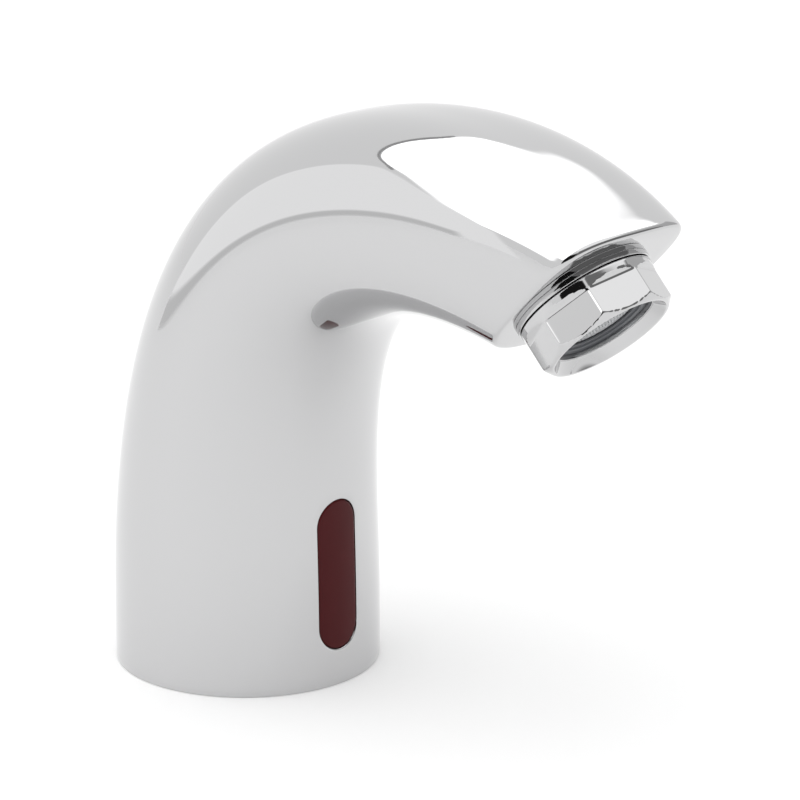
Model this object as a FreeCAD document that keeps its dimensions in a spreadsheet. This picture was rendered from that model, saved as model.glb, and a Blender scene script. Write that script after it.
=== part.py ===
"""Sensor tap: a bent chrome casting with its valve, water way, aerator and infrared sensor inside.

Millimetres. +Z is up, the spout points along -Y, and the origin is the centre of the foot's underside.
"""
import FreeCAD
import Part
import Sketcher

import math
import os
import re

from FreeCAD import Placement, Rotation, Vector

# Driving sizes in mm and degrees. A reach is measured forward (along -Y) from the column's axis,
# a setback the other way, a height up from the foot, and a depth along the outlet's own axis.
SIZES = [
    # The casting: five control sections that its shape blends between.
    ("column_radius", 27.5, "outside of the round column"),
    ("column_height", 20.6, "top of the straight column, where the bend begins"),
    ("column_ease", 12.0, "how far each way the column's top eases into the bend"),
    ("rise_height", 71.3, "second control section"),
    ("rise_lean", 15.0, "its tilt from level"),
    ("rise_half_depth", 25.75, "front to back"),
    ("rise_half_width", 25.4, "side to side"),
    ("bend_reach", 9.1, "third control section"),
    ("bend_height", 104.6, "its centre"),
    ("bend_lean", 56.5, "its tilt"),
    ("bend_half_depth", 19.75, "front to back"),
    ("bend_half_width", 23.5, "side to side"),
    ("bend_squareness", 1.92, "superellipse power of its upper side"),
    ("crown_reach", 57.3, "fourth control section"),
    ("crown_height", 115.3, "its centre"),
    ("crown_lean", 86.3, "its tilt"),
    ("crown_half_depth", 20.2, "top to underside"),
    ("crown_half_width", 25.3, "side to side"),
    ("crown_squareness", 2.35, "superellipse power of its upper side"),
    ("mouth_reach", 93.6, "end face of the spout"),
    ("mouth_height", 97.0, "its centre"),
    ("mouth_lean", 135.0, "its tilt: the outlet points 45 degrees forward of straight down"),
    ("mouth_half_depth", 19.0, "top to underside"),
    ("mouth_half_width", 17.75, "side to side"),
    ("mouth_squareness", 4.0, "superellipse power of its upper side"),
    ("mouth_underside_squareness", 2.4, "superellipse power of its lower side"),
    ("wall", 2.5, "thickness of the casting"),
    ("mouth_wall", 5.0, "thickness of the end face"),
    ("turned_clearance", 0.05, "radial, between a turned piece and its hole"),
    ("seat_gap", 0.05, "between pieces that rest on each other"),
    ("loose_clearance", 0.3, "radial, round a piece that only passes through"),
    # The foot.
    ("plate_thickness", 5.3, "base plate"),
    ("post_inset", 4.0, "screw posts' axes inside the casting's inner wall"),
    ("post_behind_stud", 8.0, "the same posts behind the stud holes"),
    ("post_radius", 4.3, "reaches into the casting's wall"),
    ("post_height", 13.0, "above the base plate"),
    ("base_screw_radius", 1.5, "thread"),
    ("base_screw_head_radius", 2.75, "head"),
    ("base_screw_head_height", 2.0, "head"),
    ("base_screw_length", 12.0, "below the head"),
    ("stud_side_clearance", 0.5, "between a stud's boss and the grommet"),
    ("stud_clearance", 1.0, "between a stud's boss and the sensor's case"),
    ("stud_hole_radius", 2.5, "M6 tapping size"),
    ("stud_boss_radius", 4.2, "boss round each hole"),
    ("stud_boss_height", 5.0, "above the base plate"),
    ("foot_seal_margin", 0.6, "metal between the seal's groove and the inner wall"),
    ("foot_seal_width", 1.2, "ring"),
    ("foot_seal_height", 1.0, "ring"),
    ("grommet_offset", 7.0, "cable entry, to the side"),
    ("grommet_clearance", 0.2, "between its flange and the sensor's cover"),
    ("cable_radius", 1.5, "hole for the supply cable"),
    ("grommet_neck_radius", 2.5, "in the base plate"),
    ("grommet_flange_radius", 3.3, "above and below the plate's web"),
    ("grommet_flange_height", 0.9, "each flange"),
    # The inlet.
    ("inlet_offset", 2.5, "inlet's axis behind the valve's"),
    ("inlet_thread_radius", 4.5, "M10 by 1 tapping size"),
    ("inlet_thread_length", 9.0, "from the underside"),
    ("inlet_shank_radius", 6.4, "adapter above its flange"),
    ("inlet_flange_radius", 8.5, "adapter's flange under the plate"),
    ("inlet_flange_height", 2.0, "flange"),
    ("inlet_length", 14.0, "adapter in all"),
    ("strainer_bore_radius", 5.2, "upper bore of the adapter"),
    ("strainer_cup_radius", 3.6, "cup of the strainer"),
    ("strainer_wall", 0.5, "cup and flange"),
    ("strainer_height", 3.9, "strainer in all"),
    ("inlet_seal_wire", 0.6, "radius of the ring's section"),
    # The valve.
    ("valve_wall_gap", 1.7, "between the valve and the casting's back"),
    ("valve_radius", 13.8, "valve body and bonnet"),
    ("valve_top", 28.0, "top of the valve body"),
    ("channel_height", 19.8, "middle of the channel to the outlet port"),
    ("channel_radius", 2.6, "that channel"),
    ("seat_height", 24.5, "valve seat"),
    ("seat_bore_radius", 3.0, "inside the seat"),
    ("seat_radius", 4.5, "outside the seat"),
    ("rim_width", 1.8, "diaphragm's clamped rim, outside the chamber"),
    ("chamber_floor", 22.5, "round the seat"),
    ("feed_margin", 0.2, "between the chamber's side and the hole that feeds it"),
    ("feed_radius", 1.9, "that hole"),
    ("rim_clearance", 0.5, "between the diaphragm's rim and the bonnet's screws"),
    ("rim_thickness", 1.4, "that rim"),
    ("web_thickness", 0.7, "diaphragm between rim and centre"),
    ("diaphragm_centre_radius", 5.5, "thick centre that closes the seat"),
    ("support_radius", 5.0, "stiff disc on the diaphragm"),
    ("support_thickness", 1.2, "that disc"),
    ("stem_radius", 2.0, "its stem through the diaphragm"),
    ("stem_length", 4.4, "below the disc"),
    ("pilot_radius", 0.6, "pilot hole"),
    ("bonnet_height", 4.6, "bonnet"),
    ("control_height", 2.6, "space above the diaphragm"),
    ("bonnet_screw_radius", 1.0, "thread"),
    ("bonnet_screw_head_radius", 1.5, "head"),
    ("bonnet_screw_head_height", 1.4, "head"),
    ("bonnet_screw_length", 9.0, "below the head"),
    ("port_clearance", 0.4, "between the outlet port's tower and the sensor's cover"),
    ("port_radius", 5.5, "outside of the port's tower"),
    ("port_floor", 21.2, "where the water tube ends in the port"),
    # The solenoid.
    ("core_tube_radius", 4.5, "outside"),
    ("core_tube_wall", 0.4, "core tube"),
    ("core_tube_flange_radius", 6.5, "held under the bonnet"),
    ("core_tube_flange_height", 1.0, "that flange"),
    ("core_tube_length", 23.8, "in all"),
    ("plunger_length", 15.8, "plunger"),
    ("plunger_stroke", 2.0, "up to the fixed core"),
    ("plunger_seal_radius", 2.0, "rubber tip"),
    ("plunger_seal_inset", 1.8, "tip inside the plunger"),
    ("plunger_seal_stand", 0.6, "tip below the plunger"),
    ("spring_radius", 1.8, "middle of the wire"),
    ("spring_wire_radius", 0.25, "wire"),
    ("spring_pocket_radius", 2.4, "bore in the plunger"),
    ("spring_pocket_depth", 7.0, "that bore"),
    ("spring_turns", 7.0, "coils of the plunger's spring"),
    ("fixed_core_length", 7.4, "closes the core tube"),
    ("yoke_half_width", 11.7, "steel frame round the coil"),
    ("yoke_half_depth", 6.8, "front to back"),
    ("yoke_thickness", 1.2, "steel frame"),
    ("bobbin_length", 16.4, "between the yoke's plates"),
    ("bobbin_flange_radius", 9.6, "bobbin"),
    ("bobbin_flange_height", 1.0, "bobbin"),
    ("bobbin_hub_radius", 5.6, "bobbin"),
    ("winding_radius", 9.0, "copper winding"),
    ("coil_nut_flats", 12.0, "across flats"),
    ("coil_nut_height", 2.6, "nut"),
    ("terminal_offset", 7.0, "coil's terminal block, to the side"),
    ("terminal_width", 4.8, "block"),
    ("terminal_stand", 13.1, "block's front face ahead of the coil's axis"),
    ("terminal_depth", 2.8, "block"),
    ("terminal_height", 6.2, "block below the bobbin's flange"),
    ("lead_radius", 0.8, "coil's lead"),
    ("lead_drop", 5.6, "from the block down to the sensor"),
    ("lead_above_block_foot", 2.2, "where the lead leaves the block"),
    # The water tube.
    ("tube_radius", 3.5, "outside"),
    ("tube_wall", 0.7, "water tube"),
    ("tube_rise", 86.0, "corner above the outlet port"),
    ("tube_shoulder_reach", 33.0, "corner under the crown"),
    ("tube_shoulder_height", 108.0, "the same corner"),
    ("tube_run", 20.0, "last corner behind the end face"),
    ("tube_bend_radius", 25.0, "lower bends"),
    ("tube_end_bend_radius", 12.0, "last bend"),
    ("tube_end_depth", 3.2, "tube's end behind the end face"),
    ("tube_seal_wire", 0.6, "radius of the seals' section"),
    ("tube_seal_drop", 2.0, "seal's middle below the mouth of its port"),
    # The outlet: a nipple in the end face, the aerator's insert, and the shell that holds it.
    ("outlet_setback", 1.1, "outlet's axis below the middle of the end face"),
    ("nipple_shank_radius", 10.0, "in the end face"),
    ("collar_radius", 14.4, "visible collar"),
    ("collar_height", 1.15, "visible collar"),
    ("nipple_thread_radius", 11.9, "for the shell"),
    ("nipple_thread_length", 4.85, "beyond the collar"),
    ("nipple_chamber_radius", 9.6, "inside"),
    ("nipple_socket_radius", 6.5, "round the tube's end"),
    ("nipple_socket_length", 7.0, "behind the end face's wall"),
    ("nipple_throat_radius", 2.7, "where the tube's water enters"),
    ("nipple_cone_depth", 2.6, "small end of the cone behind the end face"),
    ("shell_gap", 0.25, "visible gap between the collar and the shell"),
    ("shell_radius", 13.95, "corners between the wrench flats"),
    ("shell_flats", 25.9, "across the wrench flats"),
    ("shell_flat_turn", -3.5, "how far the shell is turned"),
    ("shell_flare", 0.3, "how far its upper edge stands out"),
    ("shell_flare_height", 2.0, "that flare"),
    ("shell_length", 9.3, "shell in all"),
    ("shell_rounding", 1.5, "lower outer edge"),
    ("shell_thread_clearance", 0.1, "radial, on the nipple's thread"),
    ("lip_radius", 10.8, "small end of the cone inside its rim"),
    ("lip_depth", 2.5, "that cone"),
    ("lip_ledge", 1.0, "ledge that holds the insert"),
    ("lip_bore_radius", 10.4, "outlet"),
    ("insert_radius", 9.2, "insert inside the nipple"),
    ("insert_wall", 0.8, "insert"),
    ("insert_flange_radius", 11.6, "on the shell's ledge"),
    ("insert_flange_height", 0.65, "that flange"),
    ("insert_length", 7.65, "in all"),
    ("insert_mouth_radius", 8.9, "below the screen"),
    ("screen_ledge", 0.4, "insert's ledge under the screen"),
    ("screen_inset", 0.85, "that ledge above the insert's lower face"),
    ("screen_thickness", 0.3, "fine screen"),
    ("screen_pitch", 1.2, "from hole to hole"),
    ("screen_hole", 0.75, "side of each square hole"),
    ("jet_disc_thickness", 1.6, "disc with the jets"),
    ("jet_ring_height", 2.2, "its ring down to the screen"),
    ("jet_hole_radius", 0.6, "each jet"),
    ("jet_circle", 5.2, "radius of the jets' circle"),
    ("jet_count", 12.0, "jets"),
    ("regulator_thickness", 2.0, "flow regulator"),
    ("regulator_ring_radius", 4.6, "its rubber ring"),
    ("regulator_ring_wire", 0.7, "radius of that ring's section"),
    ("insert_seal_width", 1.9, "flat washer above the insert's flange"),
    # The sensor.
    ("window_half_width", 5.3, "slot in the casting"),
    ("window_bottom", 7.7, "slot"),
    ("window_top", 39.6, "slot"),
    ("window_clearance", 0.08, "round the window in its slot"),
    ("window_depth", 5.9, "from the column's front to the window's inner face"),
    ("gasket_width", 1.6, "rubber frame round the window"),
    ("case_half_width", 8.5, "sensor's case"),
    ("case_gap", 0.1, "between the case's open front and the window"),
    ("case_depth", 6.3, "case from front to back"),
    ("case_top", 43.0, "its top"),
    ("case_wall", 1.2, "its walls"),
    ("baffle_height", 19.6, "wall between the two eyes"),
    ("cover_thickness", 0.8, "cover on the case's back"),
    ("foot_margin", 2.3, "case's feet beyond their screws"),
    ("foot_thickness", 2.2, "case's feet"),
    ("foot_inset", 2.5, "case's feet behind its front"),
    ("sensor_screw_clearance", 0.8, "between the screws' heads and the case"),
    ("sensor_screw_inset", 2.0, "screws behind the feet's front"),
    ("sensor_screw_radius", 1.0, "thread"),
    ("sensor_screw_head_radius", 1.9, "head"),
    ("sensor_screw_head_height", 1.5, "head"),
    ("sensor_screw_length", 6.0, "below the head"),
    ("board_thickness", 1.2, "circuit board"),
    ("board_standoff", 0.8, "board in front of the cover"),
    ("emitter_height", 31.5, "infrared emitter's middle"),
    ("emitter_radius", 2.0, "its lens"),
    ("receiver_height", 14.0, "infrared receiver's middle"),
    ("receiver_radius", 2.5, "its lens"),
    ("eye_inset", 1.1, "both eyes behind the case's front"),
    ("status_height", 23.5, "status light's middle"),
    ("status_radius", 0.9, "status light"),
    ("status_length", 1.6, "status light"),
]

SECTION_POINTS = 32       # points round each section of the casting
SEAM_ANGLE = math.pi / 2  # each section starts at the casting's back
COLUMN_SPANS = 4          # spans of the casting's surface up the column
BEND_SPANS = 16           # and from the column's top to the mouth
FLAT_COUNT = 8
FAR = 60.0                # longer than any cut needs to be

DOC = FreeCAD.newDocument("SensorTap")
SHEET = DOC.addObject("Spreadsheet::Sheet", "Sizes")
for row, (alias, number, note) in enumerate(SIZES, start=1):
    SHEET.set(f"A{row}", note)
    SHEET.set(f"B{row}", str(number))
    SHEET.setAlias(f"B{row}", alias)
DOC.recompute()

WORDS = {alias for alias, number, note in SIZES}
NODES = []

DOWNWARD = Rotation(Vector(0, 0, 1), Vector(0, 0, -1))
FORWARD = Rotation(Vector(0, 0, 1), Vector(0, -1, 0))


# ---------------------------------------------------------------- reading and binding sizes

def bound(text):
    """An expression in size names, made to point at the sheet."""
    def point(match):
        word = match.group(0)
        return f"Sizes.{word}" if word in WORDS else word
    return re.sub(r"[a-z_]+", point, text)


def size(text):
    """The present value of an expression in size names."""
    result = SHEET.evalExpression(bound(text))
    return float(getattr(result, "Value", result))


def bind(thing, **expressions):
    """Bind properties of an object to expressions in size names."""
    for path, text in expressions.items():
        thing.setExpression(path.replace("__", "."), bound(text))
    return thing


def put(thing, x="0", y="0", z="0"):
    """Bind an object's place."""
    return bind(thing, Placement__Base__x=x, Placement__Base__y=y, Placement__Base__z=z)


def keep(name, thing):
    """Make an object one of the tap's pieces."""
    thing.Label = name
    NODES.append(thing)
    return thing


# ---------------------------------------------------------------- building blocks

def box(name, x, y, z, length, width, height):
    """A block from its low corner and sizes, all expressions."""
    block = DOC.addObject("Part::Box", name)
    bind(block, Length=length, Width=width, Height=height)
    return put(block, x, y, z)


def cylinder(name, radius, height, x="0", y="0", z="0", turn=None):
    """A cylinder standing on (x, y, z), or turned to lie along another axis."""
    rod = DOC.addObject("Part::Cylinder", name)
    if turn is not None:
        rod.Placement = Placement(Vector(), turn)
    bind(rod, Radius=radius, Height=height)
    return put(rod, x, y, z)


def ring(name, radius, wire, x="0", y="0", z="0"):
    """A round rubber ring about a vertical axis."""
    torus = DOC.addObject("Part::Torus", name)
    bind(torus, Radius1=radius, Radius2=wire)
    return put(torus, x, y, z)


def fuse(name, *shapes):
    """Several shapes as one solid."""
    union = DOC.addObject("Part::MultiFuse", name)
    union.Shapes = list(shapes)
    union.Refine = True
    return union


def group(name, *shapes):
    """Separate solids kept in one piece's file."""
    together = DOC.addObject("Part::Compound", name)
    together.Links = list(shapes)
    return together


def cut(name, base, *tools):
    """A shape less one or more others, taken away one after another."""
    rest = base
    for index, tool in enumerate(tools, start=1):
        step = DOC.addObject("Part::Cut", name if index == len(tools) else f"{name}_cut{index}")
        step.Base = rest
        step.Tool = tool
        rest = step
    return rest


def common(name, first, second):
    """What two shapes share."""
    shared = DOC.addObject("Part::Common", name)
    shared.Base = first
    shared.Tool = second
    return shared


def fixed_shape(name, shape, place=None):
    """A shape that only a formula gives, as an object of the document."""
    thing = DOC.addObject("Part::Feature", name)
    thing.Shape = shape
    if place is not None:
        thing.Placement = place
    return thing


def origin_plane(body, role):
    """One of a body's own origin planes."""
    return next(part for part in body.Origin.OriginFeatures if part.Role == role)


def turned(name, corners):
    """A body turned about its own axis from (radius, height) corners, each an expression."""
    body = DOC.addObject("PartDesign::Body", name)
    sketch = body.newObject("Sketcher::SketchObject", name + "_profile")
    sketch.AttachmentSupport = [(origin_plane(body, "XZ_Plane"), "")]
    sketch.MapMode = "FlatFace"
    points = [Vector(size(radius), size(height), 0) for radius, height in corners]
    count = len(points)
    for index in range(count):
        sketch.addGeometry(Part.LineSegment(points[index], points[(index + 1) % count]), False)
    for index in range(count):
        sketch.addConstraint(Sketcher.Constraint("Coincident", index, 2, (index + 1) % count, 1))
    for index, (radius, height) in enumerate(corners):
        for kind, word, text, value in (
            ("DistanceX", "radius", radius, points[index].x),
            ("DistanceY", "height", height, points[index].y),
        ):
            number = sketch.addConstraint(Sketcher.Constraint(kind, -1, 1, index, 1, value))
            sketch.renameConstraint(number, f"{word}{index}")
            sketch.setExpression(f"Constraints.{word}{index}", bound(text))
    revolution = body.newObject("PartDesign::Revolution", name + "_turning")
    revolution.Profile = sketch
    revolution.ReferenceAxis = (sketch, ["V_Axis"])
    revolution.Angle = 360.0
    return body


def on_outlet(thing, depth="0", turn="0"):
    """Stand an object on the outlet's axis, a depth beyond the spout's end face."""
    thing.Placement = Placement(Vector(), Rotation(Vector(1, 0, 0), size("mouth_lean")))
    return put(
        bind(thing, Placement__Rotation__Angle="mouth_lean"),
        y=f"-(mouth_reach + outlet_setback * cos(mouth_lean) + ({depth}) * sin(mouth_lean))",
        z=f"mouth_height - outlet_setback * sin(mouth_lean) + ({depth}) * cos(mouth_lean)",
    )


# ---------------------------------------------------------------- the casting's form

def blend(controls, share):
    """Bezier blend of control values, a share of the way from the column's top to the mouth."""
    degree = len(controls) - 1
    return sum(
        math.comb(degree, index) * (1 - share) ** (degree - index) * share**index * value
        for index, value in enumerate(controls)
    )


def controls(*texts):
    """The present values of the control sections, from the column's top to the mouth."""
    return [size(text) for text in texts]


REACH = controls("0", "0", "bend_reach", "crown_reach", "mouth_reach")
HEIGHT = controls("column_height", "rise_height", "bend_height", "crown_height", "mouth_height")
LEAN = controls("0", "rise_lean", "bend_lean", "crown_lean", "mouth_lean")
HALF_DEPTH = controls(
    "column_radius", "rise_half_depth", "bend_half_depth", "crown_half_depth", "mouth_half_depth"
)
HALF_WIDTH = controls(
    "column_radius", "rise_half_width", "bend_half_width", "crown_half_width", "mouth_half_width"
)
EASE = size("column_ease")
SQUARENESS = controls("2", "2", "bend_squareness", "crown_squareness", "mouth_squareness")
UNDERSIDE_SQUARENESS = controls("2", "2", "2", "2", "mouth_underside_squareness")


def eased(controls, share, lift):
    """The blend of control values, with its sudden start at the column's top made gradual."""
    rise = HEIGHT[1] - HEIGHT[0]
    travel = abs(lift + share * (len(controls) - 1) * rise)
    rest = max(0.0, EASE - travel)
    return blend(controls, share) + (controls[1] - controls[0]) / rise * rest**2 / (4 * EASE)


def section(share, inset, lift=0.0):
    """Points round the casting at a share of its bend, moved in and lifted, and their centre."""
    half_width = eased(HALF_WIDTH, share, lift) - inset
    half_depth = eased(HALF_DEPTH, share, lift) - inset
    lean = math.radians(eased(LEAN, share, lift))
    upper, lower = blend(SQUARENESS, share), blend(UNDERSIDE_SQUARENESS, share)
    centre = Vector(0, -blend(REACH, share), blend(HEIGHT, share) + lift)
    points = []
    for index in range(SECTION_POINTS):
        angle = 2 * math.pi * index / SECTION_POINTS + SEAM_ANGLE
        across, along = math.cos(angle), math.sin(angle)
        power = lower + (upper - lower) * (1 + along) / 2
        spread = abs(across / half_width) ** power + abs(along / half_depth) ** power
        radius = spread ** (-1 / power)
        offset = Vector(across, along * math.cos(lean), along * math.sin(lean))
        points.append(centre + offset * radius)
    return points, centre


def skin(sections):
    """A closed solid whose side runs smoothly through all the sections, with flat ends."""
    travel = [0.0]
    for (_, before), (_, after) in zip(sections, sections[1:]):
        travel.append(travel[-1] + before.distanceToPoint(after))
    round_steps = [index / SECTION_POINTS for index in range(SECTION_POINTS + 1)]
    rounds = []
    for points, _ in sections:
        curve = Part.BSplineCurve()
        curve.interpolate(Points=points, PeriodicFlag=True, Parameters=round_steps)
        rounds.append(curve)
    rows = []
    for poles in zip(*(curve.getPoles() for curve in rounds)):
        length = Part.BSplineCurve()
        length.interpolate(Points=list(poles), Parameters=travel)
        rows.append(length)
    side = Part.BSplineSurface()
    side.buildFromPolesMultsKnots(
        [row.getPoles() for row in rows],
        rounds[0].getMultiplicities(), rows[0].getMultiplicities(),
        rounds[0].getKnots(), rows[0].getKnots(),
        True, False, rounds[0].Degree, rows[0].Degree,
    )
    ends = [Part.Face(Part.Wire([side.vIso(stop).toShape()])) for stop in (travel[0], travel[-1])]
    shell = Part.makeShell([side.toShape()] + ends)
    shell.sewShape()
    solid = Part.makeSolid(shell)
    if solid.Volume < 0:
        solid.reverse()
    return solid


def tap_form(name, inset, foot):
    """The casting's outer form, or the same form moved in by the wall, down to a foot height."""
    below = foot - size("column_height")
    sections = [section(0.0, inset, below * (1 - step / COLUMN_SPANS)) for step in range(COLUMN_SPANS)]
    sections += [section(step / BEND_SPANS, inset) for step in range(BEND_SPANS + 1)]
    return fixed_shape(name, skin(sections))


def stadium(name, half_width, bottom, top, back_reach, front_reach):
    """A stadium-shaped bar that runs forward through the column's front."""
    length = f"({front_reach}) - ({back_reach})"
    middle = box(
        name + "_middle", f"-({half_width})", f"-({front_reach})", f"({bottom}) + ({half_width})",
        f"2 * ({half_width})", length, f"({top}) - ({bottom}) - 2 * ({half_width})",
    )
    lower = cylinder(
        name + "_lower", half_width, length,
        y=f"-({back_reach})", z=f"({bottom}) + ({half_width})", turn=FORWARD,
    )
    upper = cylinder(
        name + "_upper", half_width, length,
        y=f"-({back_reach})", z=f"({top}) - ({half_width})", turn=FORWARD,
    )
    return fuse(name, middle, lower, upper)


# ---------------------------------------------------------------- places that pieces share

PLATE_BOTTOM = "0"
PLATE_TOP = "plate_thickness"
INNER_RADIUS = "(column_radius - wall)"
PLATE_RADIUS = f"({INNER_RADIUS} - loose_clearance)"
FOOT_SEAL_RADIUS = f"({INNER_RADIUS} + foot_seal_margin + foot_seal_width / 2)"
WINDOW_BACK_REACH = "(column_radius - window_depth)"
CASE_FRONT_REACH = f"({WINDOW_BACK_REACH} - case_gap)"
CASE_BACK_REACH = f"({CASE_FRONT_REACH} - case_depth)"
COVER_BACK_REACH = f"({CASE_BACK_REACH} - cover_thickness)"
BOARD_BACK_REACH = f"({CASE_BACK_REACH} + board_standoff)"
BOARD_FRONT_REACH = f"({BOARD_BACK_REACH} + board_thickness)"
EYE_LENGTH = f"({CASE_FRONT_REACH} - eye_inset - {BOARD_FRONT_REACH})"
FOOT_FRONT_REACH = f"({CASE_FRONT_REACH} - foot_inset)"
SENSOR_SCREW_REACH = f"({FOOT_FRONT_REACH} - sensor_screw_inset)"
SENSOR_SCREW_OFFSET = "(case_half_width + sensor_screw_head_radius + sensor_screw_clearance)"
FOOT_HALF_WIDTH = f"({SENSOR_SCREW_OFFSET} + foot_margin)"
GROMMET_REACH = f"({COVER_BACK_REACH} - grommet_flange_radius - grommet_clearance)"
STUD_OFFSET = "(grommet_offset + grommet_flange_radius + stud_boss_radius + stud_side_clearance)"
STUD_REACH = f"({CASE_BACK_REACH} - stud_boss_radius - stud_clearance)"
POST_OFFSET = f"({INNER_RADIUS} - post_inset)"
POST_REACH = f"({STUD_REACH} - post_behind_stud)"
PORT_REACH = f"({COVER_BACK_REACH} - port_radius - port_clearance)"
VALVE_SETBACK = f"({INNER_RADIUS} - valve_wall_gap - valve_radius)"
INLET_SETBACK = f"({VALVE_SETBACK} + inlet_offset)"
BONNET_SCREW_CIRCLE = "(valve_radius - bonnet_screw_head_radius)"
RIM_RADIUS = f"({BONNET_SCREW_CIRCLE} - bonnet_screw_radius - rim_clearance)"
CHAMBER_RADIUS = f"({RIM_RADIUS} - rim_width)"
FEED_SETBACK = f"({VALVE_SETBACK} + {CHAMBER_RADIUS} - feed_margin - feed_radius)"
TERMINAL_FRONT_REACH = f"(terminal_stand - {VALVE_SETBACK})"
BONNET_TOP = "(valve_top + bonnet_height)"
BOBBIN_BOTTOM = f"({BONNET_TOP} + yoke_thickness)"
BOBBIN_TOP = f"({BOBBIN_BOTTOM} + bobbin_length)"
YOKE_TOP = f"({BOBBIN_TOP} + yoke_thickness)"
DIAPHRAGM_TOP = "(valve_top - rim_thickness + web_thickness)"
SUPPORT_TOP = f"({DIAPHRAGM_TOP} + seat_gap + support_thickness)"
PLUNGER_BOTTOM = f"({SUPPORT_TOP} + plunger_seal_stand)"
PLUNGER_TOP = f"({PLUNGER_BOTTOM} + plunger_length)"
CORE_BOTTOM = f"({PLUNGER_TOP} + plunger_stroke)"
CORE_TUBE_BOTTOM = "(valve_top + control_height)"
CORE_BORE_RADIUS = "(core_tube_radius - core_tube_wall)"
COLLAR_END = "collar_height"
SHELL_START = "(collar_height + shell_gap)"
SHELL_END = f"({SHELL_START} + shell_length)"
LEDGE_TOP = f"({SHELL_END} - lip_depth - lip_ledge)"
INSERT_END = f"({LEDGE_TOP} - seat_gap)"
INSERT_START = f"({INSERT_END} - insert_length)"
INSERT_BORE_RADIUS = "(insert_radius - insert_wall)"
SCREEN_SEAT = f"({INSERT_END} - screen_inset)"
TUBE_BORE_RADIUS = "(tube_radius + turned_clearance)"
SOCKET_START = "(-mouth_wall - nipple_socket_length)"
DISC_RADIUS = f"({INSERT_BORE_RADIUS} - seat_gap)"

OUTER_FORM = tap_form("outer_form", 0.0, 0.0)
HOLLOW_FORM = tap_form("hollow_form", size("wall"), -1.0)


# ---------------------------------------------------------------- the casting and its foot

def spout_body():
    """Hollow casting: column, bend and spout in one, with a wall across the mouth."""
    end_wall = on_outlet(box("end_wall", "0", "0", "0", f"2 * {FAR}", f"2 * {FAR}", f"{FAR}"))
    bind(
        end_wall,
        Placement__Base__x=f"-{FAR}",
        Placement__Base__y=(
            "-(mouth_reach + (0 - mouth_wall) * sin(mouth_lean)) - "
            f"{FAR} * cos(mouth_lean)"
        ),
        Placement__Base__z=f"mouth_height - mouth_wall * cos(mouth_lean) - {FAR} * sin(mouth_lean)",
    )
    cavity = cut("cavity", HOLLOW_FORM, end_wall)
    blank = cut("casting_blank", OUTER_FORM, cavity)
    posts = []
    holes = []
    for side, sign in (("left", "-"), ("right", "")):
        x = f"{sign}{POST_OFFSET}"
        posts.append(cylinder(f"post_{side}", "post_radius", "post_height", x, f"-{POST_REACH}", PLATE_TOP))
        holes.append(
            cylinder(
                f"post_hole_{side}", "base_screw_radius + turned_clearance", "base_screw_length",
                x, f"-{POST_REACH}", PLATE_TOP,
            )
        )
    inside_posts = common("posts", fuse("post_pair", *posts), OUTER_FORM)
    window = stadium(
        "window_slot", "window_half_width", "window_bottom", "window_top",
        WINDOW_BACK_REACH, "column_radius + 2 * wall",
    )
    mouth = on_outlet(
        cylinder("mouth_hole", "nipple_shank_radius + turned_clearance", "3 * mouth_wall"),
        "-2 * mouth_wall",
    )
    groove = cut(
        "foot_groove",
        cylinder("foot_groove_outer", f"{FOOT_SEAL_RADIUS} + foot_seal_width / 2", "foot_seal_height"),
        cylinder("foot_groove_inner", f"{FOOT_SEAL_RADIUS} - foot_seal_width / 2", "foot_seal_height"),
    )
    casting = fuse("casting", blank, inside_posts)
    return keep("spout_body", cut("spout_body", casting, *holes, window, mouth, groove))


def base_plate():
    """Round plate that closes the foot and carries the valve, sensor and fixing studs."""
    web_low = "grommet_flange_height"
    solid = [cylinder("plate_disc", PLATE_RADIUS, "plate_thickness", z=PLATE_BOTTOM)]
    tools = [
        cylinder(
            "plate_inlet_hole", "inlet_shank_radius + turned_clearance", f"{FAR}",
            y=INLET_SETBACK, z="-1",
        ),
        cylinder(
            "plate_inlet_recess", "inlet_flange_radius + loose_clearance",
            "inlet_flange_height + seat_gap + 1", y=INLET_SETBACK, z="-1",
        ),
        cylinder(
            "plate_cable_hole", "grommet_neck_radius + turned_clearance", f"{FAR}",
            "grommet_offset", f"-{GROMMET_REACH}", "-1",
        ),
        cylinder(
            "plate_cable_recess", "grommet_flange_radius + turned_clearance",
            f"{web_low} + seat_gap", "grommet_offset", f"-{GROMMET_REACH}", PLATE_BOTTOM,
        ),
    ]
    for side, sign in (("left", "-"), ("right", "")):
        solid.append(
            cylinder(
                f"stud_boss_{side}", "stud_boss_radius", "stud_boss_height + plate_thickness / 2",
                f"{sign}{STUD_OFFSET}", f"-{STUD_REACH}", f"{PLATE_TOP} - plate_thickness / 2",
            )
        )
        tools.append(
            cylinder(
                f"stud_hole_{side}", "stud_hole_radius", f"{FAR}",
                f"{sign}{STUD_OFFSET}", f"-{STUD_REACH}", "-1",
            )
        )
        x = f"{sign}{POST_OFFSET}"
        tools.append(
            cylinder(
                f"plate_screw_hole_{side}", "base_screw_radius + turned_clearance", f"{FAR}",
                x, f"-{POST_REACH}", "-1",
            )
        )
        tools.append(
            cylinder(
                f"plate_head_recess_{side}", "base_screw_head_radius + turned_clearance",
                "base_screw_head_height + seat_gap + 1", x, f"-{POST_REACH}", "-1",
            )
        )
        tools.append(
            cylinder(
                f"plate_sensor_hole_{side}", "sensor_screw_radius + turned_clearance", f"{FAR}",
                f"{sign}{SENSOR_SCREW_OFFSET}", f"-{SENSOR_SCREW_REACH}",
                f"{PLATE_TOP} + foot_thickness - sensor_screw_length",
            )
        )
    return keep("base_plate", cut("base_plate", fuse("plate_solid", *solid), *tools))


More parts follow.
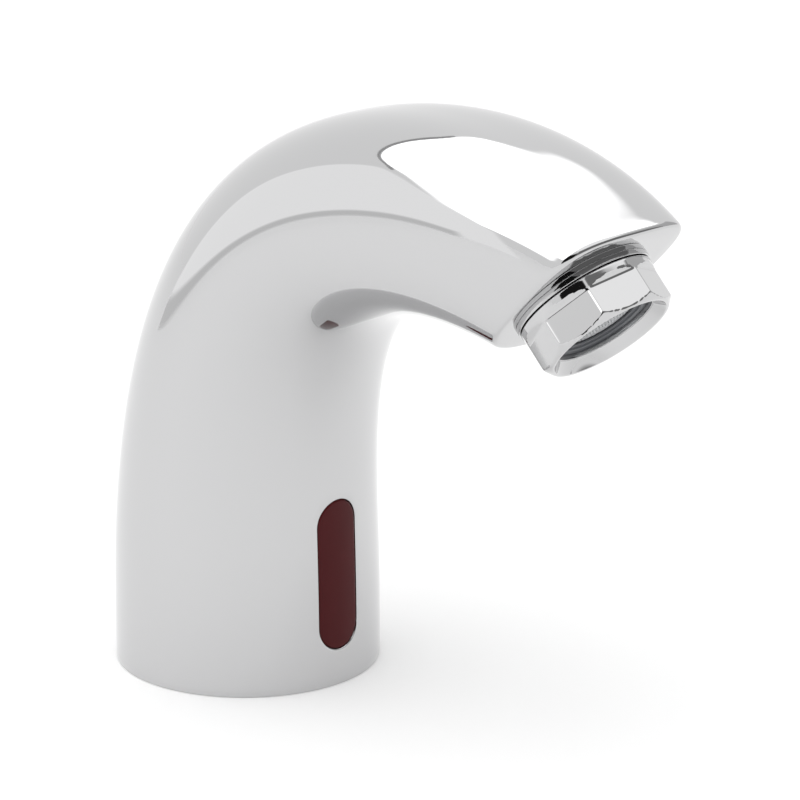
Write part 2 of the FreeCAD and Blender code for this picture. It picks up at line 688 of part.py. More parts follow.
def base_screws():
    """Two screws up through the plate into the casting's posts."""
    screws = []
    for side, sign in (("left", "-"), ("right", "")):
        x = f"{sign}{POST_OFFSET}"
        head = cylinder(
            f"base_head_{side}", "base_screw_head_radius", "base_screw_head_height",
            x, f"-{POST_REACH}", PLATE_BOTTOM,
        )
        shank = cylinder(
            f"base_shank_{side}", "base_screw_radius", "base_screw_length",
            x, f"-{POST_REACH}", f"{PLATE_BOTTOM} + base_screw_head_height",
        )
        screws.append(fuse(f"base_screw_{side}", head, shank))
    return keep("base_screws", group("base_screws", *screws))


def foot_seal():
    """Flat rubber ring let into the casting's rim."""
    outer = cylinder("foot_seal_outer", f"{FOOT_SEAL_RADIUS} + foot_seal_width / 2", "foot_seal_height")
    inner = cylinder("foot_seal_inner", f"{FOOT_SEAL_RADIUS} - foot_seal_width / 2", "foot_seal_height")
    return keep("foot_seal", cut("foot_seal", outer, inner))


def cable_grommet():
    """Rubber grommet for the supply cable: two flanges, a neck and a bore."""
    neck = "grommet_neck_radius"
    flange = "grommet_flange_radius"
    low = "grommet_flange_height"
    top = "(plate_thickness + grommet_flange_height + seat_gap)"
    body = turned("cable_grommet", [
        ("cable_radius", "0"), (flange, "0"), (flange, low), (neck, low),
        (neck, "plate_thickness + seat_gap"), (flange, "plate_thickness + seat_gap"),
        (flange, top), ("cable_radius", top),
    ])
    return keep("cable_grommet", put(body, "grommet_offset", f"-{GROMMET_REACH}", PLATE_BOTTOM))


# ---------------------------------------------------------------- inlet

def inlet_adapter():
    """Brass adapter clamped up through the plate, threaded for the supply hose."""
    flange = "inlet_flange_height"
    groove = "(inlet_shank_radius - 2 * inlet_seal_wire)"
    low = "(plate_thickness + 2 * inlet_seal_wire)"
    body = turned("inlet_adapter", [
        ("inlet_thread_radius", "0"), ("inlet_flange_radius", "0"), ("inlet_flange_radius", flange),
        ("inlet_shank_radius", flange), ("inlet_shank_radius", low), (groove, low),
        (groove, f"{low} + 2 * inlet_seal_wire"),
        ("inlet_shank_radius", f"{low} + 2 * inlet_seal_wire"), ("inlet_shank_radius", "inlet_length"),
        ("strainer_bore_radius", "inlet_length"), ("strainer_bore_radius", "inlet_thread_length"),
        ("inlet_thread_radius", "inlet_thread_length"),
    ])
    return keep("inlet_adapter", put(body, y=INLET_SETBACK, z=PLATE_BOTTOM))


def inlet_seal():
    """Ring between the adapter and the valve body."""
    height = f"{PLATE_BOTTOM} + plate_thickness + 3 * inlet_seal_wire"
    body = ring(
        "inlet_seal", "inlet_shank_radius + turned_clearance - inlet_seal_wire",
        "inlet_seal_wire - turned_clearance / 2", y=INLET_SETBACK, z=height,
    )
    return keep("inlet_seal", body)


def inlet_strainer():
    """Small cup with a flange that keeps grit out of the valve."""
    rim = "(strainer_bore_radius - turned_clearance)"
    inner = "(strainer_cup_radius - strainer_wall)"
    roof = "(strainer_height - strainer_wall)"
    body = turned("inlet_strainer", [
        (inner, "0"), (rim, "0"), (rim, "strainer_wall"), ("strainer_cup_radius", "strainer_wall"),
        ("strainer_cup_radius", "strainer_height"), ("0", "strainer_height"), ("0", roof), (inner, roof),
    ])
    height = f"{PLATE_BOTTOM} + inlet_thread_length"
    return keep("inlet_strainer", put(body, y=INLET_SETBACK, z=height))


# ---------------------------------------------------------------- solenoid valve

def valve_body():
    """Moulded body: inlet port, ring-shaped chamber, seat, channel and outlet port."""
    y = VALVE_SETBACK
    main = cylinder("valve_main", "valve_radius", f"valve_top - {PLATE_TOP}", y=y, z=PLATE_TOP)
    tower_foot = "channel_height - channel_radius - wall"
    tower = cylinder(
        "valve_tower", "port_radius", f"valve_top - ({tower_foot})", y=f"-{PORT_REACH}", z=tower_foot
    )
    bridge = box(
        "valve_bridge", "-port_radius", f"-{PORT_REACH}", tower_foot,
        "2 * port_radius", f"{PORT_REACH} + {VALVE_SETBACK}", f"valve_top - ({tower_foot})",
    )
    adapter_top = f"({PLATE_BOTTOM} + inlet_length)"
    chamber = cut(
        "valve_chamber",
        cylinder(
            "valve_chamber_outer", CHAMBER_RADIUS,
            "valve_top - chamber_floor", y=y, z="chamber_floor",
        ),
        cylinder("valve_seat", "seat_radius", "seat_height - chamber_floor", y=y, z="chamber_floor"),
    )
    tools = [
        chamber,
        cylinder(
            "valve_inlet", "inlet_shank_radius + turned_clearance",
            f"{adapter_top} + seat_gap", y=INLET_SETBACK,
        ),
        cylinder(
            "valve_antechamber", "strainer_bore_radius", f"{adapter_top} + wall / 3",
            y=INLET_SETBACK,
        ),
        cylinder(
            "valve_feed", "feed_radius", f"chamber_floor - {adapter_top} + wall / 5",
            y=FEED_SETBACK, z=f"{adapter_top}",
        ),
        cylinder("valve_seat_bore", "seat_bore_radius", "wall * 4", y=y, z="channel_height"),
        cylinder("valve_rim_seat", RIM_RADIUS, "rim_thickness", y=y, z="valve_top - rim_thickness"),
        cylinder(
            "valve_channel", "channel_radius", f"{VALVE_SETBACK} + {PORT_REACH} + channel_radius / 2",
            y=VALVE_SETBACK, z="channel_height", turn=FORWARD,
        ),
        cylinder(
            "valve_port_low", "channel_radius - turned_clearance", "wall * 4",
            y=f"-{PORT_REACH}", z="channel_height",
        ),
        cylinder("valve_port", TUBE_BORE_RADIUS, f"{FAR}", y=f"-{PORT_REACH}", z="port_floor"),
        cylinder(
            "valve_port_groove", f"{TUBE_BORE_RADIUS} + 2 * tube_seal_wire", "2 * tube_seal_wire",
            y=f"-{PORT_REACH}", z="valve_top - tube_seal_drop - tube_seal_wire",
        ),
    ]
    tools += bonnet_screw_rods("valve_screw_hole", "bonnet_screw_radius + turned_clearance", f"{FAR}")
    solid = fuse("valve_solid", main, tower, bridge)
    return keep("valve_body", cut("valve_body", solid, *tools))


def bonnet_screw_rods(name, radius, length, low=None):
    """Four rods on the bonnet's screw circle."""
    foot = low or f"{BONNET_TOP} - bonnet_screw_length"
    rods = []
    for quarter in range(4):
        angle = 45 + 90 * quarter
        rods.append(
            cylinder(
                f"{name}{quarter}", radius, length,
                f"{BONNET_SCREW_CIRCLE} * cos({angle})",
                f"{VALVE_SETBACK} + {BONNET_SCREW_CIRCLE} * sin({angle})", foot,
            )
        )
    return rods


def valve_diaphragm():
    """Rubber diaphragm: clamped rim, thin web and a thick centre on the seat."""
    web = "(valve_top - rim_thickness)"
    hole = "stem_radius + turned_clearance"
    body = turned("valve_diaphragm", [
        (hole, "seat_height"), ("diaphragm_centre_radius", "seat_height"),
        ("diaphragm_centre_radius", web), (f"{RIM_RADIUS} - turned_clearance", web),
        (f"{RIM_RADIUS} - turned_clearance", "valve_top"), (CHAMBER_RADIUS, "valve_top"),
        (CHAMBER_RADIUS, DIAPHRAGM_TOP), (hole, DIAPHRAGM_TOP),
    ])
    return keep("valve_diaphragm", put(body, y=VALVE_SETBACK))


def diaphragm_support():
    """Stiff disc on the diaphragm, with the pilot hole through its stem."""
    low = f"({DIAPHRAGM_TOP} + seat_gap)"
    stem_end = f"{low} - stem_length"
    body = turned("diaphragm_support", [
        ("pilot_radius", stem_end), ("stem_radius", stem_end), ("stem_radius", low),
        ("support_radius", low), ("support_radius", SUPPORT_TOP), ("pilot_radius", SUPPORT_TOP),
    ])
    return keep("diaphragm_support", put(body, y=VALVE_SETBACK))


def valve_bonnet():
    """Lid over the diaphragm, with the control space and the core tube's seat."""
    inner = "core_tube_flange_radius + turned_clearance"
    step = f"({CORE_TUBE_BOTTOM} + core_tube_flange_height + seat_gap)"
    body = turned("valve_bonnet_blank", [
        (CHAMBER_RADIUS, "valve_top"), ("valve_radius", "valve_top"), ("valve_radius", BONNET_TOP),
        ("core_tube_radius + turned_clearance", BONNET_TOP),
        ("core_tube_radius + turned_clearance", step), (inner, step), (inner, CORE_TUBE_BOTTOM),
        (CHAMBER_RADIUS, CORE_TUBE_BOTTOM),
    ])
    put(body, y=VALVE_SETBACK)
    holes = bonnet_screw_rods("bonnet_hole", "bonnet_screw_radius + turned_clearance", f"{FAR}")
    return keep("valve_bonnet", cut("valve_bonnet", body, *holes))


def bonnet_screws():
    """Four screws through the bonnet into the valve body."""
    shanks = bonnet_screw_rods("bonnet_shank", "bonnet_screw_radius", "bonnet_screw_length")
    heads = bonnet_screw_rods(
        "bonnet_head", "bonnet_screw_head_radius", "bonnet_screw_head_height", BONNET_TOP
    )
    screws = [
        fuse(f"bonnet_screw{index}", shank, head)
        for index, (shank, head) in enumerate(zip(shanks, heads))
    ]
    return keep("bonnet_screws", group("bonnet_screws", *screws))


# ---------------------------------------------------------------- solenoid

def core_tube():
    """Thin steel tube that guides the plunger, flanged under the bonnet."""
    flange = f"({CORE_TUBE_BOTTOM} + core_tube_flange_height)"
    top = f"({CORE_TUBE_BOTTOM} + core_tube_length)"
    body = turned("core_tube", [
        (CORE_BORE_RADIUS, CORE_TUBE_BOTTOM), ("core_tube_flange_radius", CORE_TUBE_BOTTOM),
        ("core_tube_flange_radius", flange), ("core_tube_radius", flange), ("core_tube_radius", top),
        (CORE_BORE_RADIUS, top),
    ])
    return keep("core_tube", put(body, y=VALVE_SETBACK))


def fixed_core():
    """Steel plug in the tube's top that pulls the plunger up."""
    body = cylinder(
        "fixed_core", f"{CORE_BORE_RADIUS} - seat_gap / 2", "fixed_core_length",
        y=VALVE_SETBACK, z=CORE_BOTTOM,
    )
    return keep("fixed_core", body)


def plunger():
    """Steel plunger with a pocket for its seal below and its spring above."""
    outer = f"({CORE_BORE_RADIUS} - turned_clearance)"
    seal = "plunger_seal_radius + turned_clearance"
    seal_top = f"({PLUNGER_BOTTOM} + plunger_seal_inset)"
    pocket = f"({PLUNGER_TOP} - spring_pocket_depth)"
    body = turned("plunger", [
        (seal, PLUNGER_BOTTOM), (outer, PLUNGER_BOTTOM), (outer, PLUNGER_TOP),
        ("spring_pocket_radius", PLUNGER_TOP), ("spring_pocket_radius", pocket), ("0", pocket),
        ("0", seal_top), (seal, seal_top),
    ])
    return keep("plunger", put(body, y=VALVE_SETBACK))


def plunger_seal():
    """Rubber tip that closes the pilot hole."""
    body = cylinder(
        "plunger_seal", "plunger_seal_radius", "plunger_seal_stand + plunger_seal_inset",
        y=VALVE_SETBACK, z=SUPPORT_TOP,
    )
    return keep("plunger_seal", body)


def plunger_spring():
    """Round wire coiled between the plunger's pocket and the fixed core."""
    helix = DOC.addObject("Part::Helix", "spring_helix")
    bind(
        helix,
        Height="plunger_stroke + spring_pocket_depth - 2 * spring_wire_radius",
        Pitch="(plunger_stroke + spring_pocket_depth - 2 * spring_wire_radius) / spring_turns",
        Radius="spring_radius",
    )
    section = DOC.addObject("Part::Circle", "spring_section")
    section.Placement = Placement(Vector(), Rotation(Vector(1, 0, 0), 90))
    bind(section, Radius="spring_wire_radius", Placement__Base__x="spring_radius")
    sweep = DOC.addObject("Part::Sweep", "plunger_spring")
    sweep.Sections = [section]
    sweep.Spine = (helix, ["Edge1"])
    sweep.Solid = True
    sweep.Frenet = True
    put(sweep, y=VALVE_SETBACK, z=f"{PLUNGER_TOP} - spring_pocket_depth + spring_wire_radius")
    return keep("plunger_spring", sweep)


def coil_bobbin():
    """Moulded spool with the terminal block for the coil's lead."""
    flange = "bobbin_flange_radius"
    spool = turned("bobbin_spool", [
        ("core_tube_radius + turned_clearance", BOBBIN_BOTTOM), (flange, BOBBIN_BOTTOM),
        (flange, f"{BOBBIN_BOTTOM} + bobbin_flange_height"),
        ("bobbin_hub_radius", f"{BOBBIN_BOTTOM} + bobbin_flange_height"),
        ("bobbin_hub_radius", f"{BOBBIN_TOP} - bobbin_flange_height"),
        (flange, f"{BOBBIN_TOP} - bobbin_flange_height"), (flange, BOBBIN_TOP),
        ("core_tube_radius + turned_clearance", BOBBIN_TOP),
    ])
    put(spool, y=VALVE_SETBACK)
    low_x = "terminal_offset - terminal_width / 2"
    lug = box(
        "terminal_lug", low_x, f"-{TERMINAL_FRONT_REACH}", f"{BOBBIN_TOP} - bobbin_flange_height",
        "terminal_width", f"{TERMINAL_FRONT_REACH} + {VALVE_SETBACK} - wall", "bobbin_flange_height",
    )
    block = box(
        "terminal_block", low_x, f"-{TERMINAL_FRONT_REACH}",
        f"{BOBBIN_TOP} - bobbin_flange_height - terminal_height",
        "terminal_width", "terminal_depth", "terminal_height",
    )
    return keep("coil_bobbin", fuse("coil_bobbin", spool, lug, block))


def coil_winding():
    """Copper winding between the bobbin's flanges."""
    low = f"({BOBBIN_BOTTOM} + bobbin_flange_height + seat_gap)"
    high = f"({BOBBIN_TOP} - bobbin_flange_height - seat_gap)"
    hub = "bobbin_hub_radius + turned_clearance"
    body = turned("coil_winding", [
        (hub, low), ("winding_radius", low), ("winding_radius", high), (hub, high),
    ])
    return keep("coil_winding", put(body, y=VALVE_SETBACK))


def coil_yoke():
    """Steel frame round the coil: a foot, two sides and a top with holes for the core tube."""
    outer = box(
        "yoke_outer", "-yoke_half_width", f"{VALVE_SETBACK} - yoke_half_depth", BONNET_TOP,
        "2 * yoke_half_width", "2 * yoke_half_depth", f"{YOKE_TOP} - {BONNET_TOP}",
    )
    inner = box(
        "yoke_inner", "-(yoke_half_width - yoke_thickness)",
        f"{VALVE_SETBACK} - yoke_half_depth - 1", BOBBIN_BOTTOM,
        "2 * (yoke_half_width - yoke_thickness)", "2 * yoke_half_depth + 2", "bobbin_length",
    )
    hole = cylinder(
        "yoke_hole", "core_tube_radius + turned_clearance", f"{FAR}", y=VALVE_SETBACK, z=BONNET_TOP
    )
    return keep("coil_yoke", cut("coil_yoke", outer, inner, hole))


def coil_nut():
    """Hexagonal nut on the core tube that holds the coil down."""
    hexagon = DOC.addObject("Part::Prism", "coil_nut_blank")
    hexagon.Polygon = 6
    bind(hexagon, Circumradius="coil_nut_flats / 2 / cos(30)", Height="coil_nut_height")
    put(hexagon, y=VALVE_SETBACK, z=YOKE_TOP)
    hole = cylinder(
        "coil_nut_hole", "core_tube_radius + turned_clearance", f"{FAR}", y=VALVE_SETBACK, z=YOKE_TOP
    )
    return keep("coil_nut", cut("coil_nut", hexagon, hole))


# ---------------------------------------------------------------- tubes and leads

def rounded_path(corners, radii):
    """Straight runs between corners, joined by tangent arcs of the given radii."""
    edges = []
    start = corners[0]
    for corner, after, radius in zip(corners[1:], corners[2:], radii):
        come = (corner - start).normalize()
        go = (after - corner).normalize()
        half_turn = come.getAngle(go) / 2
        reach = radius * math.tan(half_turn)
        first, last = corner - come * reach, corner + go * reach
        centre_way = (go - come).normalize()
        middle = corner + centre_way * (radius / math.cos(half_turn) - radius)
        edges.append(Part.LineSegment(start, first).toShape())
        edges.append(Part.Arc(first, middle, last).toShape())
        start = last
    edges.append(Part.LineSegment(start, corners[-1]).toShape())
    return Part.Wire(edges)


def pipe_along(path, outer, inner=0.0):
    """A round rod or tube swept along a path."""
    start = path.OrderedVertexes[0].Point
    edge = path.OrderedEdges[0]
    direction = edge.tangentAt(edge.FirstParameter)
    if edge.valueAt(edge.FirstParameter).distanceToPoint(start) > 1e-6:
        direction = edge.tangentAt(edge.LastParameter) * -1
    rings = [Part.Wire([Part.Circle(start, direction, radius).toShape()])
             for radius in (outer, inner) if radius > 0]
    return path.makePipe(Part.makeFace(rings, "Part::FaceMakerBullseye"))


def outlet_point(depth):
    """A point on the outlet's axis, a depth beyond the spout's end face."""
    lean = math.radians(size("mouth_lean"))
    setback = size("outlet_setback")
    reach = size("mouth_reach") + setback * math.cos(lean) + depth * math.sin(lean)
    height = size("mouth_height") - setback * math.sin(lean) + depth * math.cos(lean)
    return Vector(0, -reach, height)


def water_tube():
    """Tube from the valve's outlet port up and over to the nipple in the mouth."""
    corners = [
        Vector(0, -size(PORT_REACH), size("port_floor + seat_gap")),
        Vector(0, -size(PORT_REACH), size("tube_rise")),
        Vector(0, -size("tube_shoulder_reach"), size("tube_shoulder_height")),
        outlet_point(-size("tube_run")),
        outlet_point(-size("tube_end_depth")),
    ]
    bend = size("tube_bend_radius")
    path = rounded_path(corners, [bend, bend, size("tube_end_bend_radius")])
    outer, inner = size("tube_radius"), size("tube_radius - tube_wall")
    shape = pipe_along(path, outer, inner)
    expected = math.pi * (outer**2 - inner**2) * path.Length
    print(f"water tube: {path.Length:.1f} mm long, volume off by {shape.Volume / expected - 1:.2%}")
    return keep("water_tube", fixed_shape("water_tube", shape))


def tube_seals():
    """One rubber ring in the valve's port and one in the nipple's socket."""
    radius = "tube_radius + turned_clearance + tube_seal_wire"
    wire = "tube_seal_wire - turned_clearance / 2"
    lower = ring("tube_seal_lower", radius, wire, y=f"-{PORT_REACH}", z="valve_top - tube_seal_drop")
    upper = on_outlet(
        ring("tube_seal_upper", radius, wire), f"{SOCKET_START} + tube_seal_drop"
    )
    return keep("tube_seals", group("tube_seals", lower, upper))


def coil_lead():
    """Lead from the coil's terminal block to the sensor's cover, in two equal arcs."""
    x = size("terminal_offset")
    back = size(TERMINAL_FRONT_REACH)
    front = size(COVER_BACK_REACH)
    high = size(f"{BOBBIN_TOP} - bobbin_flange_height - terminal_height + lead_above_block_foot")
    low = high - size("lead_drop")
    half_turn = math.atan2(high - low, front - back)
    radius = (front - back) / 4 / math.sin(half_turn) / math.cos(half_turn)
    quarter = Vector(
        x, -back - radius * math.sin(half_turn), high - radius * (1 - math.cos(half_turn))
    )
    middle = Vector(x, -(back + front) / 2, (high + low) / 2)
    three_quarters = middle * 2 - quarter
    path = Part.Wire([
        Part.Arc(Vector(x, -back, high), quarter, middle).toShape(),
        Part.Arc(middle, three_quarters, Vector(x, -front, low)).toShape(),
    ])
    return keep("coil_lead", fixed_shape("coil_lead", pipe_along(path, size("lead_radius"))))


# ---------------------------------------------------------------- outlet and aerator

def outlet_nipple():
    """Threaded piece in the end face: socket for the tube, visible collar, thread for the shell."""
    bore = TUBE_BORE_RADIUS
    groove = f"({TUBE_BORE_RADIUS} + 2 * tube_seal_wire)"
    groove_low = f"({SOCKET_START} + tube_seal_drop - tube_seal_wire)"
    groove_high = f"({SOCKET_START} + tube_seal_drop + tube_seal_wire)"
    shoulder = "-mouth_wall"
    tube_stop = "(seat_gap - tube_end_depth)"
    thread_end = "(collar_height + nipple_thread_length)"
    body = turned("outlet_nipple", [
        (bore, SOCKET_START), ("nipple_socket_radius", SOCKET_START),
        ("nipple_socket_radius", shoulder), ("nipple_shank_radius", shoulder),
        ("nipple_shank_radius", "0"), ("collar_radius", "0"), ("collar_radius", "collar_height"),
        ("nipple_thread_radius", "collar_height"), ("nipple_thread_radius", thread_end),
        ("nipple_chamber_radius", thread_end),
        ("nipple_chamber_radius", f"{INSERT_START} - 2 * loose_clearance"),
        ("nipple_throat_radius", "-nipple_cone_depth"), ("nipple_throat_radius", tube_stop),
        (bore, tube_stop), (bore, groove_high), (groove, groove_high), (groove, groove_low),
        (bore, groove_low),
    ])
    return keep("outlet_nipple", on_outlet(body))


def aerator_housing():
    """Chrome shell screwed on the nipple, with wrench flats and a cone inside its rim."""
    thread = "(nipple_thread_radius + shell_thread_clearance)"
    crest = "(shell_radius - shell_rounding)"
    cone_top = f"({SHELL_END} - lip_depth)"
    body = turned("shell_blank", [
        (thread, SHELL_START), ("shell_radius + shell_flare", SHELL_START),
        ("shell_radius", f"{SHELL_START} + shell_flare_height"), ("shell_radius", SHELL_END),
        (crest, SHELL_END), ("lip_radius", cone_top), ("lip_bore_radius", cone_top),
        ("lip_bore_radius", LEDGE_TOP), (thread, LEDGE_TOP),
    ])
    DOC.recompute()
    turning = body.Tip
    corner = edge_at(turning.Shape, size("shell_radius"), size(SHELL_END))
    rounding = body.newObject("PartDesign::Fillet", "shell_edge")
    rounding.Base = (turning, [corner])
    bind(rounding, Radius="shell_rounding * 0.95")
    on_outlet(body)
    flats = DOC.addObject("Part::Prism", "shell_flats")
    flats.Polygon = FLAT_COUNT
    bind(flats, Circumradius=f"shell_flats / 2 / cos({180 / FLAT_COUNT})", Height=f"{FAR}")
    on_outlet(flats)
    turn = Rotation(Vector(1, 0, 0), size("mouth_lean"))
    spin = Rotation(Vector(0, 0, 1), size("shell_flat_turn"))
    flats.setExpression("Placement.Rotation.Angle", None)
    flats.Placement = Placement(outlet_point(0.0), turn.multiply(spin))
    return keep("aerator_housing", common("aerator_housing", body, flats))


def edge_at(shape, radius, height):
    """The name of the round edge about Z with this radius at this height."""
    for number, edge in enumerate(shape.Edges, start=1):
        curve = edge.Curve
        if not isinstance(curve, Part.Circle):
            continue
        if abs(curve.Radius - radius) < 1e-4 and abs(curve.Center.z - height) < 1e-4:
            return f"Edge{number}"
    raise ValueError(f"no round edge of radius {radius} at height {height}")


def aerator_cage():
    """Insert that hangs in the nipple by its flange and carries the discs and the screen."""
    bore = INSERT_BORE_RADIUS
    flange = f"({INSERT_END} - insert_flange_height)"
    ledge = f"({INSERT_BORE_RADIUS} - screen_ledge)"
    ledge_end = f"({SCREEN_SEAT} + screen_ledge)"
    body = turned("aerator_cage", [
        (bore, INSERT_START), ("insert_radius", INSERT_START), ("insert_radius", flange),
        ("insert_flange_radius", flange), ("insert_flange_radius", INSERT_END),
        ("insert_mouth_radius", INSERT_END), ("insert_mouth_radius", ledge_end), (ledge, ledge_end),
        (ledge, SCREEN_SEAT), (bore, SCREEN_SEAT),
    ])
    return keep("aerator_cage", on_outlet(body))


def aerator_seal():
    """Flat washer between the nipple's end and the insert's flange."""
    low = "(collar_height + nipple_thread_length + seat_gap)"
    high = f"({INSERT_END} - insert_flange_height - seat_gap)"
    outer = "insert_flange_radius"
    inner = "(insert_flange_radius - insert_seal_width)"
    body = turned("aerator_seal", [(inner, low), (outer, low), (outer, high), (inner, high)])
    return keep("aerator_seal", on_outlet(body))


def outlet_screen():
    """Fine screen: a thin disc with a grid of square holes."""
    radius = size(DISC_RADIUS)
    reach = radius - size("screen_ledge + screen_hole")
    pitch, hole = size("screen_pitch"), size("screen_hole")
    steps = int(reach / pitch)
    centres = [
        (column * pitch, row * pitch)
        for column in range(-steps, steps + 1)
        for row in range(-steps, steps + 1)
        if math.hypot(column * pitch, row * pitch) <= reach
    ]
    rim = Part.Wire([Part.Circle(Vector(), Vector(0, 0, 1), radius).toShape()])
    holes = []
    for x, y in centres:
        low_x, low_y, high_x, high_y = x - hole / 2, y - hole / 2, x + hole / 2, y + hole / 2
        corners = [(low_x, low_y), (high_x, low_y), (high_x, high_y), (low_x, high_y), (low_x, low_y)]
        holes.append(Part.makePolygon([Vector(px, py, 0) for px, py in corners]))
    face = Part.makeFace([rim] + holes, "Part::FaceMakerBullseye")
    plate = face.extrude(Vector(0, 0, size("screen_thickness")))
    thing = fixed_shape("outlet_screen", plate)
    return keep("outlet_screen", on_outlet(thing, f"{SCREEN_SEAT} - seat_gap - screen_thickness"))


def jet_disc():
    """Disc that splits the water into jets, on a ring that stands on the screen."""
    low = f"({SCREEN_SEAT} - 2 * seat_gap - screen_thickness)"
    disc_low = f"({low} - jet_ring_height)"
    disc_high = f"({disc_low} - jet_disc_thickness)"
    inner = f"({DISC_RADIUS} - insert_wall)"
    body = turned("jet_blank", [
        ("0", disc_high), (DISC_RADIUS, disc_high), (DISC_RADIUS, low), (inner, low),
        (inner, disc_low), ("0", disc_low),
    ])
    on_outlet(body)
    holes = []
    count = int(size("jet_count"))
    for index in range(count):
        angle = 360 * index / count
        hole = on_outlet(cylinder(f"jet_hole{index}", "jet_hole_radius", f"{FAR}"))
        side = f"jet_circle * cos({angle})"
        up = f"jet_circle * sin({angle})"
        low_y = "-(mouth_reach + outlet_setback * cos(mouth_lean))"
        low_z = "mouth_height - outlet_setback * sin(mouth_lean)"
        bind(
            hole,
            Placement__Base__x=side,
            Placement__Base__y=f"{low_y} + {up} * cos(mouth_lean) + {FAR / 2} * sin(mouth_lean)",
            Placement__Base__z=f"{low_z} + {up} * sin(mouth_lean) - {FAR / 2} * cos(mouth_lean)",
        )
        holes.append(hole)
    return keep("jet_disc", cut("jet_disc", body, *holes))


def flow_regulator():
    """Disc with a groove whose rubber ring narrows as the pressure rises."""
    low = f"({SCREEN_SEAT} - 3 * seat_gap - screen_thickness - jet_ring_height - jet_disc_thickness)"
    high = f"({low} - regulator_thickness)"
    wire = "regulator_ring_wire"
    floor = f"({high} + 2 * {wire})"
    body = turned("flow_regulator", [
        ("1", low), (DISC_RADIUS, low), (DISC_RADIUS, high),
        (f"regulator_ring_radius + {wire} + turned_clearance", high),
        (f"regulator_ring_radius + {wire} + turned_clearance", floor),
        (f"regulator_ring_radius - {wire} - 3 * turned_clearance", floor),
        (f"regulator_ring_radius - {wire} - 3 * turned_clearance", high), ("1", high),
    ])
    return keep("flow_regulator", on_outlet(body))


def regulator_ring():
    """Rubber ring in the regulator's groove."""
    high = (
        f"({SCREEN_SEAT} - 3 * seat_gap - screen_thickness - jet_ring_height"
        " - jet_disc_thickness - regulator_thickness)"
    )
    body = ring("regulator_ring", "regulator_ring_radius", "regulator_ring_wire - turned_clearance / 2")
    return keep("regulator_ring", on_outlet(body, f"{high} + regulator_ring_wire"))


# ---------------------------------------------------------------- infrared sensor

def sensor_window():
    """Dark red window, flush with the column's front."""
    bar = stadium(
        "window_bar", "window_half_width - window_clearance", "window_bottom + window_clearance",
        "window_top - window_clearance", WINDOW_BACK_REACH, "column_radius + 2 * wall",
    )
    return keep("sensor_window", common("sensor_window", bar, OUTER_FORM))


def window_gasket():
    """Rubber frame round the window, between the case and the casting's wall."""
    frame = stadium(
        "gasket_outer", "window_half_width + gasket_width", "window_bottom - gasket_width",
        "window_top + gasket_width", WINDOW_BACK_REACH, "column_radius",
    )
    hole = stadium(
        "gasket_inner", "window_half_width", "window_bottom", "window_top",
        f"{WINDOW_BACK_REACH} - 1", "column_radius + 1",
    )
    outer = cut("gasket_frame", frame, hole)
    return keep("window_gasket", common("window_gasket", outer, HOLLOW_FORM))


def sensor_case():
    """Open frame behind the window, with a wall between its two eyes and two screwed feet."""
    depth = f"{CASE_FRONT_REACH} - {CASE_BACK_REACH}"
    outer = box(
        "case_outer", "-case_half_width", f"-{CASE_FRONT_REACH}", PLATE_TOP,
        "2 * case_half_width", depth, f"case_top - {PLATE_TOP}",
    )
    inner = box(
        "case_inner", "-(case_half_width - case_wall)", f"-{CASE_FRONT_REACH} - 1",
        f"{PLATE_TOP} + case_wall", "2 * (case_half_width - case_wall)", f"{depth} + 2",
        f"case_top - {PLATE_TOP} - 2 * case_wall",
    )
    baffle = box(
        "case_baffle", "-case_half_width", f"-{CASE_FRONT_REACH}", "baffle_height",
        "2 * case_half_width", f"{CASE_FRONT_REACH} - {BOARD_FRONT_REACH} - seat_gap", "case_wall",
    )
    feet = box(
        "case_feet", f"-{FOOT_HALF_WIDTH}", f"-{FOOT_FRONT_REACH}", PLATE_TOP,
        f"2 * {FOOT_HALF_WIDTH}", f"{FOOT_FRONT_REACH} - {CASE_BACK_REACH}", "foot_thickness",
    )
    holes = [
        cylinder(
            f"case_hole_{side}", "sensor_screw_radius + turned_clearance", f"{FAR / 3}",
            f"{sign}{SENSOR_SCREW_OFFSET}", f"-{SENSOR_SCREW_REACH}", PLATE_TOP,
        )
        for side, sign in (("left", "-"), ("right", ""))
    ]
    frame = cut("case_frame", fuse("case_blank", outer, feet), inner, *holes)
    return keep("sensor_case", fuse("sensor_case", frame, baffle))


def sensor_cover():
    """Cover on the case's back, with two pegs that hold the board forward."""
    lid = box(
        "cover_lid", "-case_half_width", f"-{CASE_BACK_REACH}", PLATE_TOP,
        "2 * case_half_width", "cover_thickness", f"case_top - {PLATE_TOP}",
    )
    pegs = [
        cylinder(
            f"cover_peg{index}", "status_radius", "board_standoff + cover_thickness / 2",
            y=f"-{CASE_BACK_REACH} + cover_thickness / 2", z=height, turn=FORWARD,
        )
        for index, height in enumerate(("receiver_height", "emitter_height"))
    ]
    return keep("sensor_cover", fuse("sensor_cover", lid, *pegs))


def sensor_board():
    """Circuit board between the cover's pegs and the case's inner wall."""
    edge = "(case_wall + loose_clearance)"
    body = box(
        "sensor_board", f"-(case_half_width - {edge})", f"-{BOARD_FRONT_REACH}",
        f"{PLATE_TOP} + {edge}", f"2 * (case_half_width - {edge})", "board_thickness",
        f"case_top - {PLATE_TOP} - 2 * ({edge})",
    )
    return keep("sensor_board", body)


